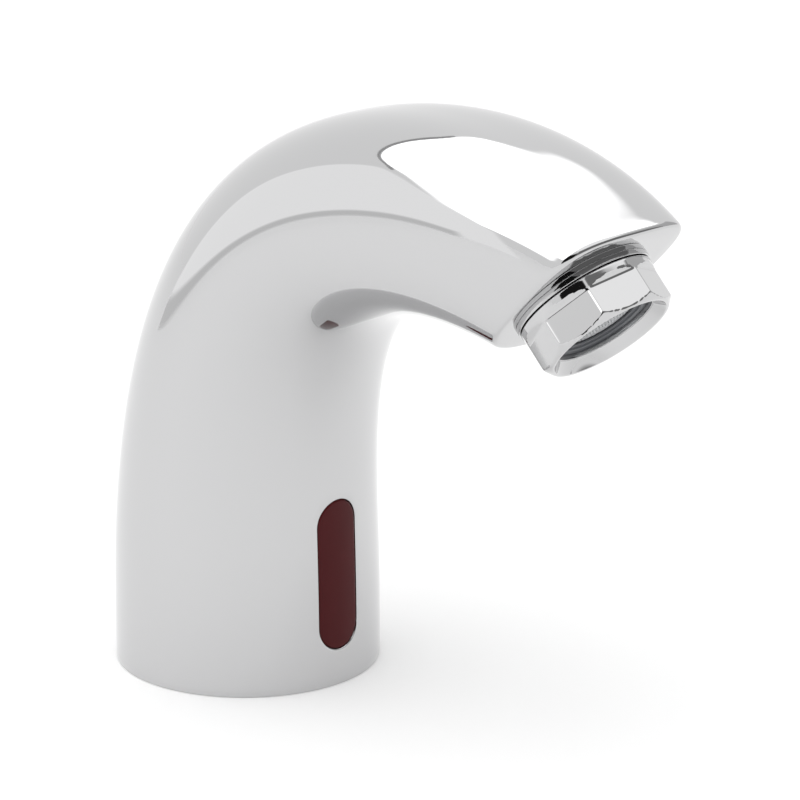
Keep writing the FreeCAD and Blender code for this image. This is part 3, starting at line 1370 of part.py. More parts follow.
def eye(name, radius, length, height):
    """A small lens on the board that looks forward: a rod with a domed end."""
    straight = f"({length}) - ({radius}) / 2"
    rod = cylinder(f"{name}_rod", radius, length, y=f"-{BOARD_FRONT_REACH}", z=height, turn=FORWARD)
    ball = DOC.addObject("Part::Sphere", f"{name}_ball")
    bind(ball, Radius=f"({radius}) * 1.25")
    put(ball, y=f"-({BOARD_FRONT_REACH} + {straight} - ({radius}) * 0.75)", z=height)
    return keep(name, common(name, rod, ball_and_stem(name, ball, radius, straight, height)))


def ball_and_stem(name, ball, radius, straight, height):
    """The dome's ball joined to the straight stem behind it."""
    stem = cylinder(f"{name}_stem", radius, straight, y=f"-{BOARD_FRONT_REACH}", z=height, turn=FORWARD)
    return fuse(f"{name}_dome", ball, stem)


def sensor_screws():
    """Two screws through the case's feet into the base plate."""
    screws = []
    for side, sign in (("left", "-"), ("right", "")):
        x = f"{sign}{SENSOR_SCREW_OFFSET}"
        top = f"({PLATE_TOP} + foot_thickness)"
        head = cylinder(
            f"sensor_head_{side}", "sensor_screw_head_radius", "sensor_screw_head_height",
            x, f"-{SENSOR_SCREW_REACH}", top,
        )
        shank = cylinder(
            f"sensor_shank_{side}", "sensor_screw_radius", "sensor_screw_length",
            x, f"-{SENSOR_SCREW_REACH}", f"{top} - sensor_screw_length",
        )
        screws.append(fuse(f"sensor_screw_{side}", head, shank))
    return keep("sensor_screws", group("sensor_screws", *screws))


# ---------------------------------------------------------------- the whole tap

def build():
    spout_body()
    base_plate()
    base_screws()
    foot_seal()
    cable_grommet()
    inlet_adapter()
    inlet_seal()
    inlet_strainer()
    valve_body()
    valve_diaphragm()
    diaphragm_support()
    valve_bonnet()
    bonnet_screws()
    core_tube()
    fixed_core()
    plunger()
    plunger_seal()
    plunger_spring()
    coil_bobbin()
    coil_winding()
    coil_yoke()
    coil_nut()
    coil_lead()
    water_tube()
    tube_seals()
    outlet_nipple()
    aerator_housing()
    aerator_cage()
    aerator_seal()
    outlet_screen()
    jet_disc()
    flow_regulator()
    regulator_ring()
    sensor_window()
    window_gasket()
    sensor_case()
    sensor_cover()
    sensor_board()
    eye("ir_emitter", "emitter_radius", EYE_LENGTH, "emitter_height")
    eye("ir_receiver", "receiver_radius", EYE_LENGTH, "receiver_height")
    eye("status_led", "status_radius", "status_length", "status_height")
    sensor_screws()


def check():
    """Stop if any object failed or any piece isn't a valid solid."""
    for thing in DOC.Objects:
        if "Invalid" in thing.State or "Error" in thing.State:
            raise RuntimeError(f"{thing.Name} failed: {thing.State}")
    failed = [
        node.Label for node in NODES
        if node.Shape.isNull() or not node.Shape.isValid() or not node.Shape.Solids
    ]
    if failed:
        raise RuntimeError(f"no valid solid: {failed}")


def export():
    """Write each piece to its own file."""
    os.makedirs("parts", exist_ok=True)
    for node in NODES:
        node.Shape.exportStep(f"parts/{node.Label}.step")
        box_now = node.Shape.BoundBox
        print(
            f"{node.Label}: {len(node.Shape.Solids)} solids, {node.Shape.Volume:.1f} mm3, "
            f"z {box_now.ZMin:.2f} to {box_now.ZMax:.2f}"
        )


build()
DOC.recompute()
check()
export()
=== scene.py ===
"""Looks of the sensor tap: chrome casting, infrared window, aerator, foot and inner works.

Every length in the classes below is in millimetres of the tap's own frame: +Z up, spout along -Y,
origin under the middle of the foot. Meshes are written in metres.
"""
import logging
import math
from dataclasses import dataclass, field
from enum import Enum

import bmesh
import bpy
import numpy as np
from mathutils import Matrix, Vector


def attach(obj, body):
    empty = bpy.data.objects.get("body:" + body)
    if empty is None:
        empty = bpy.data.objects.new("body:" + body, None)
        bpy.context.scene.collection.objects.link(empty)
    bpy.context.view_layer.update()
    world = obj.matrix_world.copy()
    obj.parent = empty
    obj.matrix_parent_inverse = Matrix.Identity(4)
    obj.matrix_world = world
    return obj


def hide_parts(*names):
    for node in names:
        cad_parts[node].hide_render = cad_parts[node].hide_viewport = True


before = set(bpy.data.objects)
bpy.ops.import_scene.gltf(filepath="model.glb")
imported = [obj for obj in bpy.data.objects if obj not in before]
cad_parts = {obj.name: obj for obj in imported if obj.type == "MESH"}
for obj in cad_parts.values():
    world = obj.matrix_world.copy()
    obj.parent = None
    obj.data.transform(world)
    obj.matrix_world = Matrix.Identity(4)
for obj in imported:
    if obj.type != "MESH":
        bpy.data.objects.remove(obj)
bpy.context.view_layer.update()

MM = 0.001
LOG = logging.getLogger("sensor_tap")
Rings = list[np.ndarray]
WHITE = (1.0, 1.0, 1.0, 1.0)
WELD = 1e-7  # metres: points closer than this are one
SMALL_CLOUDS = 55.0  # per metre: the broad changes of gloss and colour
COAT_ROUGHNESS = 0.03
SIDE_SHARE = 0.49  # the most of a profile's side that one rounding takes
MITRE_LIMIT = 0.5  # keeps a card's soft edge from growing long at sharp corners


class Body(str, Enum):
    """The rigid bodies that pieces ride on."""

    TAP = "tap_body"
    PLUNGER = "plunger"
    DIAPHRAGM = "diaphragm"
    INSERT = "aerator_insert"
    SHELL = "aerator_housing"


class Family(Enum):
    """What a finish is made of, which sets how its shader behaves."""

    METAL = "metal"
    PLASTIC = "plastic"
    RUBBER = "rubber"


# ---------------------------------------------------------------- finishes


def add_socket(tree: bpy.types.NodeTree, name: str, kind: str, output: bool, value: float | None = None) -> None:
    """Give a node group an input or output.

    Args:
        tree: the group.
        name: the socket's name.
        kind: Float or Geometry, as in the names of socket types.
        output: True for an output.
        value: a default for a number.
    """
    socket = tree.interface.new_socket(
        name=name, in_out="OUTPUT" if output else "INPUT", socket_type=f"NodeSocket{kind}"
    )
    if value is not None:
        socket.default_value = value


def feed(tree: bpy.types.NodeTree, node: bpy.types.Node, joins: dict[str | int, object]) -> None:
    """Feed inputs of a node.

    Args:
        tree: the tree that holds it.
        node: the node.
        joins: a socket or a value for each input.
    """
    for key, source in joins.items():
        if isinstance(source, bpy.types.NodeSocket):
            tree.links.new(source, node.inputs[key])
        else:
            node.inputs[key].default_value = source


def add_node(
    tree: bpy.types.NodeTree, kind: str, joins: dict[str | int, object] | None = None, **settings: object
) -> bpy.types.Node:
    """Add a node to a tree.

    Args:
        tree: the tree.
        kind: the node's type.
        joins: a socket or a value for each input that is fed.
        settings: the node's own settings.

    Returns:
        The node.
    """
    node = tree.nodes.new(kind)
    for key, value in settings.items():
        setattr(node, key, value)
    feed(tree, node, joins or {})
    return node


def fine_wear_group() -> bpy.types.NodeTree:
    """Small changes of gloss and height over a surface, shared by every finish.

    Returns:
        A shader group that puts out roughness, height and a 0 to 1 mottle.
    """
    tree = bpy.data.node_groups.get("fine_wear")
    if tree:
        return tree
    tree = bpy.data.node_groups.new("fine_wear", "ShaderNodeTree")
    for name, value in (
        ("Grain per metre", 400.0), ("Roughness", 0.3), ("Roughness spread", 0.1), ("Direction stretch", 1.0)
    ):
        add_socket(tree, name, "Float", False, value)
    for name in ("Roughness", "Height", "Mottle"):
        add_socket(tree, name, "Float", True)
    given = add_node(tree, "NodeGroupInput").outputs
    spot = add_node(tree, "ShaderNodeTexCoord").outputs["Object"]
    stretch = add_node(tree, "ShaderNodeCombineXYZ", {"X": 1.0, "Y": 1.0, "Z": given["Direction stretch"]})
    drawn = add_node(tree, "ShaderNodeVectorMath", {0: spot, 1: stretch.outputs["Vector"]}, operation="MULTIPLY")
    grain = add_node(tree, "ShaderNodeTexNoise", {
        "Vector": drawn.outputs["Vector"], "Scale": given["Grain per metre"], "Detail": 4.0,
    })
    cloud = add_node(tree, "ShaderNodeTexNoise", {"Vector": spot, "Scale": SMALL_CLOUDS, "Detail": 2.0})
    spread = add_node(tree, "ShaderNodeMapRange", {"Value": cloud.outputs["Fac"], "To Min": -1.0})
    rough = add_node(tree, "ShaderNodeMath", {
        0: spread.outputs["Result"], 1: given["Roughness spread"], 2: given["Roughness"],
    }, operation="MULTIPLY_ADD", use_clamp=True)
    add_node(tree, "NodeGroupOutput", {
        "Roughness": rough.outputs["Value"], "Height": grain.outputs["Fac"], "Mottle": cloud.outputs["Fac"],
    })
    return tree


@dataclass(frozen=True)
class Finish:
    """One finish of the tap, as the numbers its shader needs."""

    name: str
    slot: str
    family: Family
    colour: tuple[float, float, float]
    roughness: float = 0.3
    spread: float = 0.05
    grain: float = 900.0
    stretch: float = 1.0
    bump: float = 0.0
    shade: float = 0.0
    coat: float = 0.0
    specular: float = 0.5

    def material(self) -> bpy.types.Material:
        """Build the material once and hand it out after that.

        Returns:
            The Principled material with its gloss, mottle and bump from the shared group.
        """
        known = bpy.data.materials.get(f"tap_{self.name}")
        if known:
            return known
        made = bpy.data.materials.new(f"tap_{self.name}")
        made.use_nodes = True
        made.diffuse_color = (*self.colour, 1.0)
        tree = made.node_tree
        wear = add_node(tree, "ShaderNodeGroup", {
            "Grain per metre": self.grain, "Roughness": self.roughness, "Roughness spread": self.spread,
            "Direction stretch": self.stretch,
        }, node_tree=fine_wear_group())
        darker = tuple(channel * (1.0 - self.shade) for channel in self.colour)
        tone = add_node(tree, "ShaderNodeMix", {
            "A": (*darker, 1.0), "B": (*self.colour, 1.0), "Factor": wear.outputs["Mottle"],
        }, data_type="RGBA")
        shader = tree.nodes["Principled BSDF"]
        feed(tree, shader, {
            "Base Color": tone.outputs["Result"], "Roughness": wear.outputs["Roughness"],
            "Metallic": 1.0 if self.family is Family.METAL else 0.0, "Specular IOR Level": self.specular,
            "Coat Weight": self.coat, "Coat Roughness": COAT_ROUGHNESS,
        })
        if self.bump > 0.0:
            relief = add_node(tree, "ShaderNodeBump", {
                "Strength": 1.0, "Distance": self.bump * MM, "Height": wear.outputs["Height"],
            })
            feed(tree, shader, {"Normal": relief.outputs["Normal"]})
        return made


CHROME = Finish("polished_chrome", "chrome", Family.METAL, (0.575, 0.575, 0.58), 0.035, 0.012)
WINDOW_RED = Finish(
    "infrared_window", "window", Family.PLASTIC, (0.072, 0.0075, 0.009), 0.14, 0.02, shade=0.22, specular=0.12
)
BRASS = Finish(
    "turned_brass", "brass", Family.METAL, (0.66, 0.47, 0.20), 0.3, 0.08, grain=1400.0, bump=0.01, shade=0.12
)
STEEL = Finish(
    "stainless_steel", "steel", Family.METAL, (0.55, 0.56, 0.57), 0.28, 0.06, stretch=6.0, bump=0.004, shade=0.06
)
SCREW_STEEL = Finish(
    "zinc_steel", "screw_steel", Family.METAL, (0.62, 0.63, 0.65), 0.32, 0.08, grain=1200.0, bump=0.006, shade=0.1
)
PLASTIC_WHITE = Finish(
    "white_moulding", "white_plastic", Family.PLASTIC, (0.70, 0.70, 0.66), 0.42, 0.05,
    grain=2200.0, bump=0.01, shade=0.06,
)
PLASTIC_GREY = Finish(
    "grey_moulding", "grey_plastic", Family.PLASTIC, (0.12, 0.125, 0.135), 0.4, 0.06,
    grain=2200.0, bump=0.01, shade=0.1,
)
PLASTIC_BLACK = Finish(
    "black_moulding", "black_plastic", Family.PLASTIC, (0.014, 0.014, 0.015), 0.45, 0.06,
    grain=2200.0, bump=0.01, shade=0.2,
)
RUBBER_BLACK = Finish(
    "black_rubber", "black_rubber", Family.RUBBER, (0.012, 0.012, 0.012), 0.62, 0.08,
    grain=3000.0, bump=0.015, shade=0.2, specular=0.35,
)
COPPER = Finish("enamelled_copper", "copper", Family.METAL, (0.63, 0.25, 0.11), 0.22, shade=0.15, coat=0.5)
BOARD = Finish(
    "solder_mask", "board_green", Family.PLASTIC, (0.012, 0.09, 0.035), 0.3,
    grain=1800.0, bump=0.004, shade=0.25, coat=0.3,
)
LENS_DARK = Finish("dark_lens", "lens_dark", Family.PLASTIC, (0.02, 0.012, 0.035), 0.08, 0.02, shade=0.1, coat=0.5)
LENS_RED = Finish("red_lens", "lens_red", Family.PLASTIC, (0.40, 0.02, 0.015), 0.1, 0.02, shade=0.1, coat=0.5)
LEAD_BLACK = Finish(
    "lead_insulation", "lead_black", Family.RUBBER, (0.01, 0.01, 0.01), 0.5, 0.06,
    grain=2500.0, bump=0.008, shade=0.2,
)


# ---------------------------------------------------------------- mesh helpers


def linked(name: str, data: bpy.types.ID) -> bpy.types.Object:
    """A new object of the given data, linked to the scene."""
    made = bpy.data.objects.new(name, data)
    bpy.context.scene.collection.objects.link(made)
    return made


def mesh_piece(
    name: str, points: np.ndarray, faces: list[tuple[int, ...]], finish: Finish, sharp: float = 35.0
) -> bpy.types.Object:
    """Make a closed, smooth-shaded piece from points and faces.

    Args:
        name: the piece's name.
        points: its points, in millimetres.
        faces: its faces as point numbers.
        finish: what it is made of.
        sharp: edges that turn more than this many degrees stay crisp.

    Returns:
        The new object, linked to the scene.
    """
    data = bpy.data.meshes.new(name)
    data.from_pydata((np.asarray(points) * MM).tolist(), [], faces)
    work = bmesh.new()
    work.from_mesh(data)
    bmesh.ops.remove_doubles(work, verts=work.verts, dist=WELD)
    bmesh.ops.dissolve_degenerate(work, edges=work.edges, dist=WELD)
    bmesh.ops.recalc_face_normals(work, faces=work.faces)
    work.to_mesh(data)
    work.free()
    data.shade_smooth()
    data.set_sharp_from_angle(angle=math.radians(sharp))
    data.materials.append(finish.material())
    return linked(name, data)


def belts(rings: Rings, closed: bool) -> list[tuple[int, ...]]:
    """Quads between neighbouring rings of points.

    Args:
        rings: rings with the same number of points.
        closed: True if the last ring joins the first.

    Returns:
        The faces.
    """
    count = len(rings[0])
    faces = []
    for row in range(len(rings) if closed else len(rings) - 1):
        low, high = row * count, ((row + 1) % len(rings)) * count
        for step in range(count):
            after = (step + 1) % count
            faces.append((low + step, low + after, high + after, high + step))
    return faces


def rounded(corners: list[tuple[float, float, float]], steps: int = 4) -> list[tuple[float, float]]:
    """Round the corners of a closed profile.

    Args:
        corners: (radius, height, rounding) of each corner in order.
        steps: points along each rounding.

    Returns:
        The profile's (radius, height) points.
    """
    profile = []
    count = len(corners)
    for index, (x, y, radius) in enumerate(corners):
        here = Vector((x, y))
        if radius <= 0.0:
            profile.append((x, y))
            continue
        before = Vector(corners[index - 1][:2]) - here
        after = Vector(corners[(index + 1) % count][:2]) - here
        half = before.angle(after) / 2
        reach = min(radius / math.tan(half), before.length * SIDE_SHARE, after.length * SIDE_SHARE)
        start, end = here + before.normalized() * reach, here + after.normalized() * reach
        for step in range(steps + 1):
            share = step / steps
            point = start * (1 - share) ** 2 + here * 2 * share * (1 - share) + end * share**2
            profile.append((point.x, point.y))
    return profile


@dataclass(frozen=True)
class Axis:
    """A turning axis: where it starts and its sideways, upward and outward directions."""

    origin: tuple[float, float, float]
    side: tuple[float, float, float] = (1.0, 0.0, 0.0)
    up: tuple[float, float, float] = (0.0, 1.0, 0.0)
    out: tuple[float, float, float] = (0.0, 0.0, 1.0)

    def ring(self, radius: np.ndarray | float, angles: np.ndarray, depth: np.ndarray | float) -> np.ndarray:
        """Points round the axis.

        Args:
            radius: distance from the axis, one number or one per angle.
            angles: directions round the axis, in radians.
            depth: distance along the axis.

        Returns:
            One point per angle.
        """
        across = (np.cos(angles) * radius)[:, None] * np.array(self.side)
        along = (np.sin(angles) * radius)[:, None] * np.array(self.up)
        outward = (np.zeros_like(angles) + depth)[:, None] * np.array(self.out)
        return np.array(self.origin) + across + along + outward

    def matrix(self) -> Matrix:
        """The axis as a transform in metres."""
        columns = [Vector(self.side), Vector(self.up), Vector(self.out)]
        turned = Matrix(columns).transposed().to_4x4()
        return Matrix.Translation(Vector(self.origin) * MM) @ turned


UPRIGHT = Axis((0.0, 0.0, 0.0))


def turned_piece(
    name: str, axis: Axis, profile: list[tuple[float, float]], finish: Finish, segments: int = 128
) -> bpy.types.Object:
    """A piece turned from a closed profile that stays off its axis.

    Args:
        name: the piece's name.
        axis: its axis.
        profile: (radius, depth) points.
        finish: what it is made of.
        segments: points round it.

    Returns:
        The new object.
    """
    angles = np.linspace(0.0, 2 * math.pi, segments, endpoint=False)
    rings = [axis.ring(radius, angles, depth) for radius, depth in profile]
    return mesh_piece(name, np.concatenate(rings), belts(rings, True), finish)


def place(piece: bpy.types.Object, body: Body, node: str) -> None:
    """Tie a finished piece to the frame.

    Args:
        piece: the piece.
        body: the body it rides on.
        node: the CAD node it stands for.
    """
    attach(piece, body.value)
    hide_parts(node)
    LOG.info("%s on %s stands for %s", piece.name, body.value, node)


# ---------------------------------------------------------------- geometry nodes


class Tree:
    """A Geometry Nodes tree under construction, with short ways to add and join nodes."""

    def __init__(self, name: str, inputs: dict[str, float]) -> None:
        """Start a tree.

        Args:
            name: its name.
            inputs: number inputs and their values.
        """
        self.tree = bpy.data.node_groups.new(name, "GeometryNodeTree")
        add_socket(self.tree, "Geometry", "Geometry", False)
        for title, value in inputs.items():
            add_socket(self.tree, title, "Float", False, value)
        add_socket(self.tree, "Geometry", "Geometry", True)
        self.entry = self.tree.nodes.new("NodeGroupInput")
        self.leave = self.tree.nodes.new("NodeGroupOutput")

    def add(self, kind: str, joins: dict[str | int, object] | None = None, **settings: object) -> bpy.types.Node:
        """Add a node.

        Args:
            kind: the node's type.
            joins: what feeds its inputs: a socket, a value, or the name of a tree input.
            settings: the node's own settings.

        Returns:
            The node.
        """
        found = {
            key: self.entry.outputs[source] if isinstance(source, str) else source
            for key, source in (joins or {}).items()
        }
        return add_node(self.tree, kind, found, **settings)

    def sum(self, operation: str, first: object, second: object = 0.0) -> bpy.types.NodeSocket:
        """A number worked out from two others.

        Args:
            operation: Blender's name of the operation.
            first: a socket, an input's name or a number.
            second: likewise.

        Returns:
            The result's socket.
        """
        return self.add("ShaderNodeMath", {0: first, 1: second}, operation=operation).outputs[0]

    def finish(self, geometry: bpy.types.NodeSocket, finish: Finish) -> None:
        """End the tree in real, smooth geometry with its material."""
        real = self.add("GeometryNodeRealizeInstances", {"Geometry": geometry})
        shaded = self.add("GeometryNodeSetShadeSmooth", {"Geometry": real.outputs[0], "Shade Smooth": True})
        dressed = self.add("GeometryNodeSetMaterial", {"Geometry": shaded.outputs[0], "Material": finish.material()})
        feed(self.tree, self.leave, {"Geometry": dressed.outputs[0]})

    def grow(self, name: str, matrix: Matrix) -> bpy.types.Object:
        """Run the tree and keep its result as a plain mesh.

        Args:
            name: the piece's name.
            matrix: where the result is put.

        Returns:
            The finished object at the origin.
        """
        holder = linked(f"{name}_maker", bpy.data.meshes.new(f"{name}_seed"))
        modifier = holder.modifiers.new("maker", "NODES")
        modifier.node_group = self.tree
        bpy.context.view_layer.update()
        seen = holder.evaluated_get(bpy.context.evaluated_depsgraph_get())
        data = bpy.data.meshes.new_from_object(seen)
        data.name = name
        data.transform(matrix)
        bpy.data.objects.remove(holder)
        return linked(name, data)


# ---------------------------------------------------------------- the casting


@dataclass(frozen=True)
class CastingForm:
    """The law of the casting's surface: five control sections that it blends between."""

    column_top: float = 20.6
    ease: float = 12.0
    bend_travel: float = 160.0
    reach: tuple[float, ...] = (0.0, 0.0, 9.1, 57.3, 93.6)
    height: tuple[float, ...] = (20.6, 71.3, 104.6, 115.3, 97.0)
    lean: tuple[float, ...] = (0.0, 15.0, 56.5, 86.3, 135.0)
    half_depth: tuple[float, ...] = (27.5, 25.75, 19.75, 20.2, 19.0)
    half_width: tuple[float, ...] = (27.5, 25.4, 23.5, 25.3, 17.75)
    upper_power: tuple[float, ...] = (2.0, 2.0, 1.92, 2.35, 4.0)
    lower_power: tuple[float, ...] = (2.0, 2.0, 2.0, 2.0, 2.4)

    def end(self) -> float:
        """Travel at the mouth."""
        return self.column_top + self.bend_travel

    def blend(self, values: tuple[float, ...], share: np.ndarray) -> np.ndarray:
        """Bezier blend of control values at shares of the bend."""
        degree = len(values) - 1
        total = np.zeros_like(share)
        for index, value in enumerate(values):
            total = total + math.comb(degree, index) * (1 - share) ** (degree - index) * share**index * value
        return total

    def eased(self, values: tuple[float, ...], share: np.ndarray, away: np.ndarray) -> np.ndarray:
        """The blend with its start at the column's top made gradual."""
        slope = (values[1] - values[0]) / (self.height[1] - self.height[0])
        rest = np.maximum(0.0, self.ease - away)
        return self.blend(values, share) + slope * rest**2 / (4 * self.ease)

    def points(self, travel: np.ndarray, angle: np.ndarray, inset: float = 0.0) -> np.ndarray:
        """Points of the surface.

        Args:
            travel: way up the column and along the bend.
            angle: direction round the section, 90 degrees being its back and top.
            inset: how far inside the outer surface.

        Returns:
            One point per travel and angle.
        """
        travel, angle = np.broadcast_arrays(np.asarray(travel, float), np.asarray(angle, float))
        lift = np.minimum(travel - self.column_top, 0.0)
        share = np.maximum(travel - self.column_top, 0.0) / self.bend_travel
        away = np.abs(lift) + share * (len(self.height) - 1) * (self.height[1] - self.height[0])
        wide = self.eased(self.half_width, share, away) - inset
        deep = self.eased(self.half_depth, share, away) - inset
        lean = np.radians(self.eased(self.lean, share, away))
        upper, lower = self.blend(self.upper_power, share), self.blend(self.lower_power, share)
        across, along = np.cos(angle), np.sin(angle)
        power = lower + (upper - lower) * (1 + along) / 2
        radius = (np.abs(across / wide) ** power + np.abs(along / deep) ** power) ** (-1 / power)
        reach = self.blend(self.reach, share) - radius * along * np.cos(lean)
        rise = self.blend(self.height, share) + lift + radius * along * np.sin(lean)
        return np.stack([radius * across, -reach, rise], axis=-1)

    def front_at(
        self, x: np.ndarray, z: np.ndarray, travel: np.ndarray, angle: np.ndarray, inset: float
    ) -> np.ndarray:
        """Points of the column's front at given sideways places and heights.

        Args:
            x: sideways places.
            z: heights.
            travel: first guess of the travel.
            angle: first guess of the direction.
            inset: how far inside the outer surface.

        Returns:
            The points.
        """
        travel, angle = travel.copy(), angle.copy()
        step_travel, step_angle, rounds = 0.01, 0.0005, 12
        for _ in range(rounds):
            here = self.points(travel, angle, inset)
            by_travel = (self.points(travel + step_travel, angle, inset) - here) / step_travel
            by_angle = (self.points(travel, angle + step_angle, inset) - here) / step_angle
            gap_x, gap_z = x - here[..., 0], z - here[..., 2]
            scale = by_travel[..., 0] * by_angle[..., 2] - by_travel[..., 2] * by_angle[..., 0]
            travel += (gap_x * by_angle[..., 2] - gap_z * by_angle[..., 0]) / scale
            angle += (gap_z * by_travel[..., 0] - gap_x * by_travel[..., 2]) / scale
        return self.points(travel, angle, inset)


@dataclass(frozen=True)
class Outlet:
    """The outlet's axis in the end face."""

    reach: float = 93.6
    height: float = 97.0
    lean: float = 135.0
    setback: float = 1.1

    def axis(self) -> Axis:
        """The axis with depth counted outward from the end face."""
        lean = math.radians(self.lean)
        reach = self.reach + self.setback * math.cos(lean)
        origin = (0.0, -reach, self.height - self.setback * math.sin(lean))
        return Axis(
            origin, (1.0, 0.0, 0.0), (0.0, math.cos(lean), math.sin(lean)), (0.0, -math.sin(lean), math.cos(lean))
        )


@dataclass(frozen=True)
class Slot:
    """The stadium-shaped slot for the infrared window."""

    half_width: float = 5.3
    bottom: float = 7.7
    top: float = 39.6

    def outward(self, x: np.ndarray, z: np.ndarray) -> tuple[np.ndarray, np.ndarray, np.ndarray]:
        """The nearest point on the slot's middle line and the direction away from it.

        Args:
            x: sideways places.
            z: heights.

        Returns:
            The middle line's height, and the direction's sideways and upward parts.
        """
        middle = np.clip(z, self.bottom + self.half_width, self.top - self.half_width)
        length = np.hypot(x, z - middle)
        return middle, x / length, (z - middle) / length

    def loop(self, x: np.ndarray, z: np.ndarray, grow: float) -> tuple[np.ndarray, np.ndarray]:
        """The slot's edge, grown by a margin, nearest to each given point."""
        middle, side, up = self.outward(x, z)
        return side * (self.half_width + grow), middle + up * (self.half_width + grow)


@dataclass
class Casting:
    """The chrome casting as one closed mesh: column, bend, end face, hollow and window slot."""

    form: CastingForm = field(default_factory=CastingForm)
    outlet: Outlet = field(default_factory=Outlet)
    slot: Slot = field(default_factory=Slot)
    wall: float = 2.5
    end_wall: float = 5.0
    hole_radius: float = 10.05
    foot_bevel: float = 0.35
    foot_softness: float = 0.3
    mouth_edge: float = 1.0
    slot_edge: float = 0.3
    seal_groove: tuple[float, float, float] = (25.6, 26.8, 1.0)
    columns: int = 160
    block_half: int = 9
    block_rows: tuple[int, int] = (2, 36)
    row_travel: float = 1.35
    low_rows: int = 46
    bend_rows: int = 100
    inner_rows: int = 50
    patch_rows: int = 6
    end_search: float = 40.0
    halvings: int = 40

    def angles(self) -> np.ndarray:
        """Directions round every ring, starting at the casting's back."""
        return math.pi / 2 + np.linspace(0.0, 2 * math.pi, self.columns, endpoint=False)

    def low_travel(self) -> np.ndarray:
        """Travel of the rings that the outer and inner surface share, round the window."""
        return self.foot_bevel + self.row_travel * np.arange(self.low_rows)

    def inner_ends(self) -> np.ndarray:
        """Travel at which the inner surface meets the end wall, for each direction."""
        angles = self.angles()
        axis = self.outlet.axis()
        high = np.full(self.columns, self.form.end())
        low = high - self.end_search
        for _ in range(self.halvings):
            middle = (low + high) / 2
            depth = (self.form.points(middle, angles, self.wall) - np.array(axis.origin)) @ np.array(axis.out)
            inside = depth < -self.end_wall
            low, high = np.where(inside, middle, low), np.where(inside, high, middle)
        return (low + high) / 2

    def rings(self) -> tuple[Rings, int]:
        """All rings in one closed run: up the outside, into the mouth, down the inside, under the foot.

        Returns:
            The rings, and the number of the inner surface's topmost shared ring.
        """
        form, angles, axis = self.form, self.angles(), self.outlet.axis()
        low = self.low_travel()
        rings: Rings = [form.points(travel, angles) for travel in low]
        stop = form.end() - self.mouth_edge
        rings += [form.points(travel, angles) for travel in np.linspace(low[-1], stop, self.bend_rows)[1:]]
        edge = form.points(form.end(), angles)
        centre = np.array(axis.origin)
        inward = centre - edge
        inward /= np.linalg.norm(inward, axis=1)[:, None]
        start, finish = rings[-1], edge + inward * self.mouth_edge
        for share in (0.2, 0.4, 0.6, 0.8, 1.0):
            rings.append(start * (1 - share) ** 2 + edge * 2 * share * (1 - share) + finish * share**2)
        hole = axis.ring(self.hole_radius, angles, 0.0)
        rings += [finish + (hole - finish) * share for share in (0.33, 0.66, 1.0)]
        deep_hole = axis.ring(self.hole_radius, angles, -self.end_wall)
        rings.append(deep_hole)
        ends = self.inner_ends()
        inner_end = form.points(ends, angles, self.wall)
        rings += [deep_hole + (inner_end - deep_hole) * share for share in (0.5, 1.0)]
        for share in np.linspace(0.0, 1.0, self.inner_rows)[1:]:
            rings.append(form.points(ends + (low[-1] - ends) * share, angles, self.wall))
        inner_top = len(rings) - 1
        rings += [form.points(travel, angles, self.wall) for travel in low[-2::-1]]
        groove_in, groove_out, groove_deep = self.seal_groove
        foot = self.form.half_depth[0]
        edge_step = self.foot_bevel * self.foot_softness
        for radius, rise in (
            (foot - self.wall, 0.0), (groove_in, 0.0), (groove_in, groove_deep), (groove_out, groove_deep),
            (groove_out, 0.0), (foot - self.foot_bevel, 0.0), (foot - edge_step, edge_step),
        ):
            rings.append(UPRIGHT.ring(radius, angles, rise))
        return rings, inner_top

    def block_loop(self) -> list[tuple[int, int]]:
        """Row and column numbers round the block that the window's patch fills."""
        middle = self.columns // 2
        left, right = middle - self.block_half, middle + self.block_half
        low, high = self.block_rows
        loop = [(low, column) for column in range(left, right)]
        loop += [(row, right) for row in range(low, high)]
        loop += [(high, column) for column in range(right, left, -1)]
        loop += [(row, left) for row in range(high, low, -1)]
        return loop

    def patch(self, inset: float, margin: float) -> Rings:
        """Rings of points from the block's edge to the slot's edge on one surface.

        Args:
            inset: how far inside the outer surface.
            margin: distance outside the slot of the last ring.

        Returns:
            The rings, without the block's own edge.
        """
        loop = self.block_loop()
        low, angles = self.low_travel(), self.angles()
        travel = np.array([low[row] for row, _ in loop])
        angle = np.array([angles[column] for _, column in loop])
        edge = self.form.points(travel, angle, inset)
        made: Rings = []
        goal_x, goal_z = self.slot.loop(edge[:, 0], edge[:, 2], margin)
        for share in np.linspace(0.0, 1.0, self.patch_rows)[1:]:
            x = edge[:, 0] + (goal_x - edge[:, 0]) * share
            z = edge[:, 2] + (goal_z - edge[:, 2]) * share
            made.append(self.form.front_at(x, z, travel, angle, inset))
        return made

    def build(self) -> bpy.types.Object:
        """Make the casting.

        Returns:
            The finished piece.
        """
        rings, inner_top = self.rings()
        count = self.columns
        faces = belts(rings, True)
        low, high = self.block_rows
        middle = self.columns // 2
        columns = range(middle - self.block_half, middle + self.block_half)

        def inner_row(row: int) -> int:
            """The inner surface's ring at the height of an outer row."""
            return inner_top + self.low_rows - 1 - row

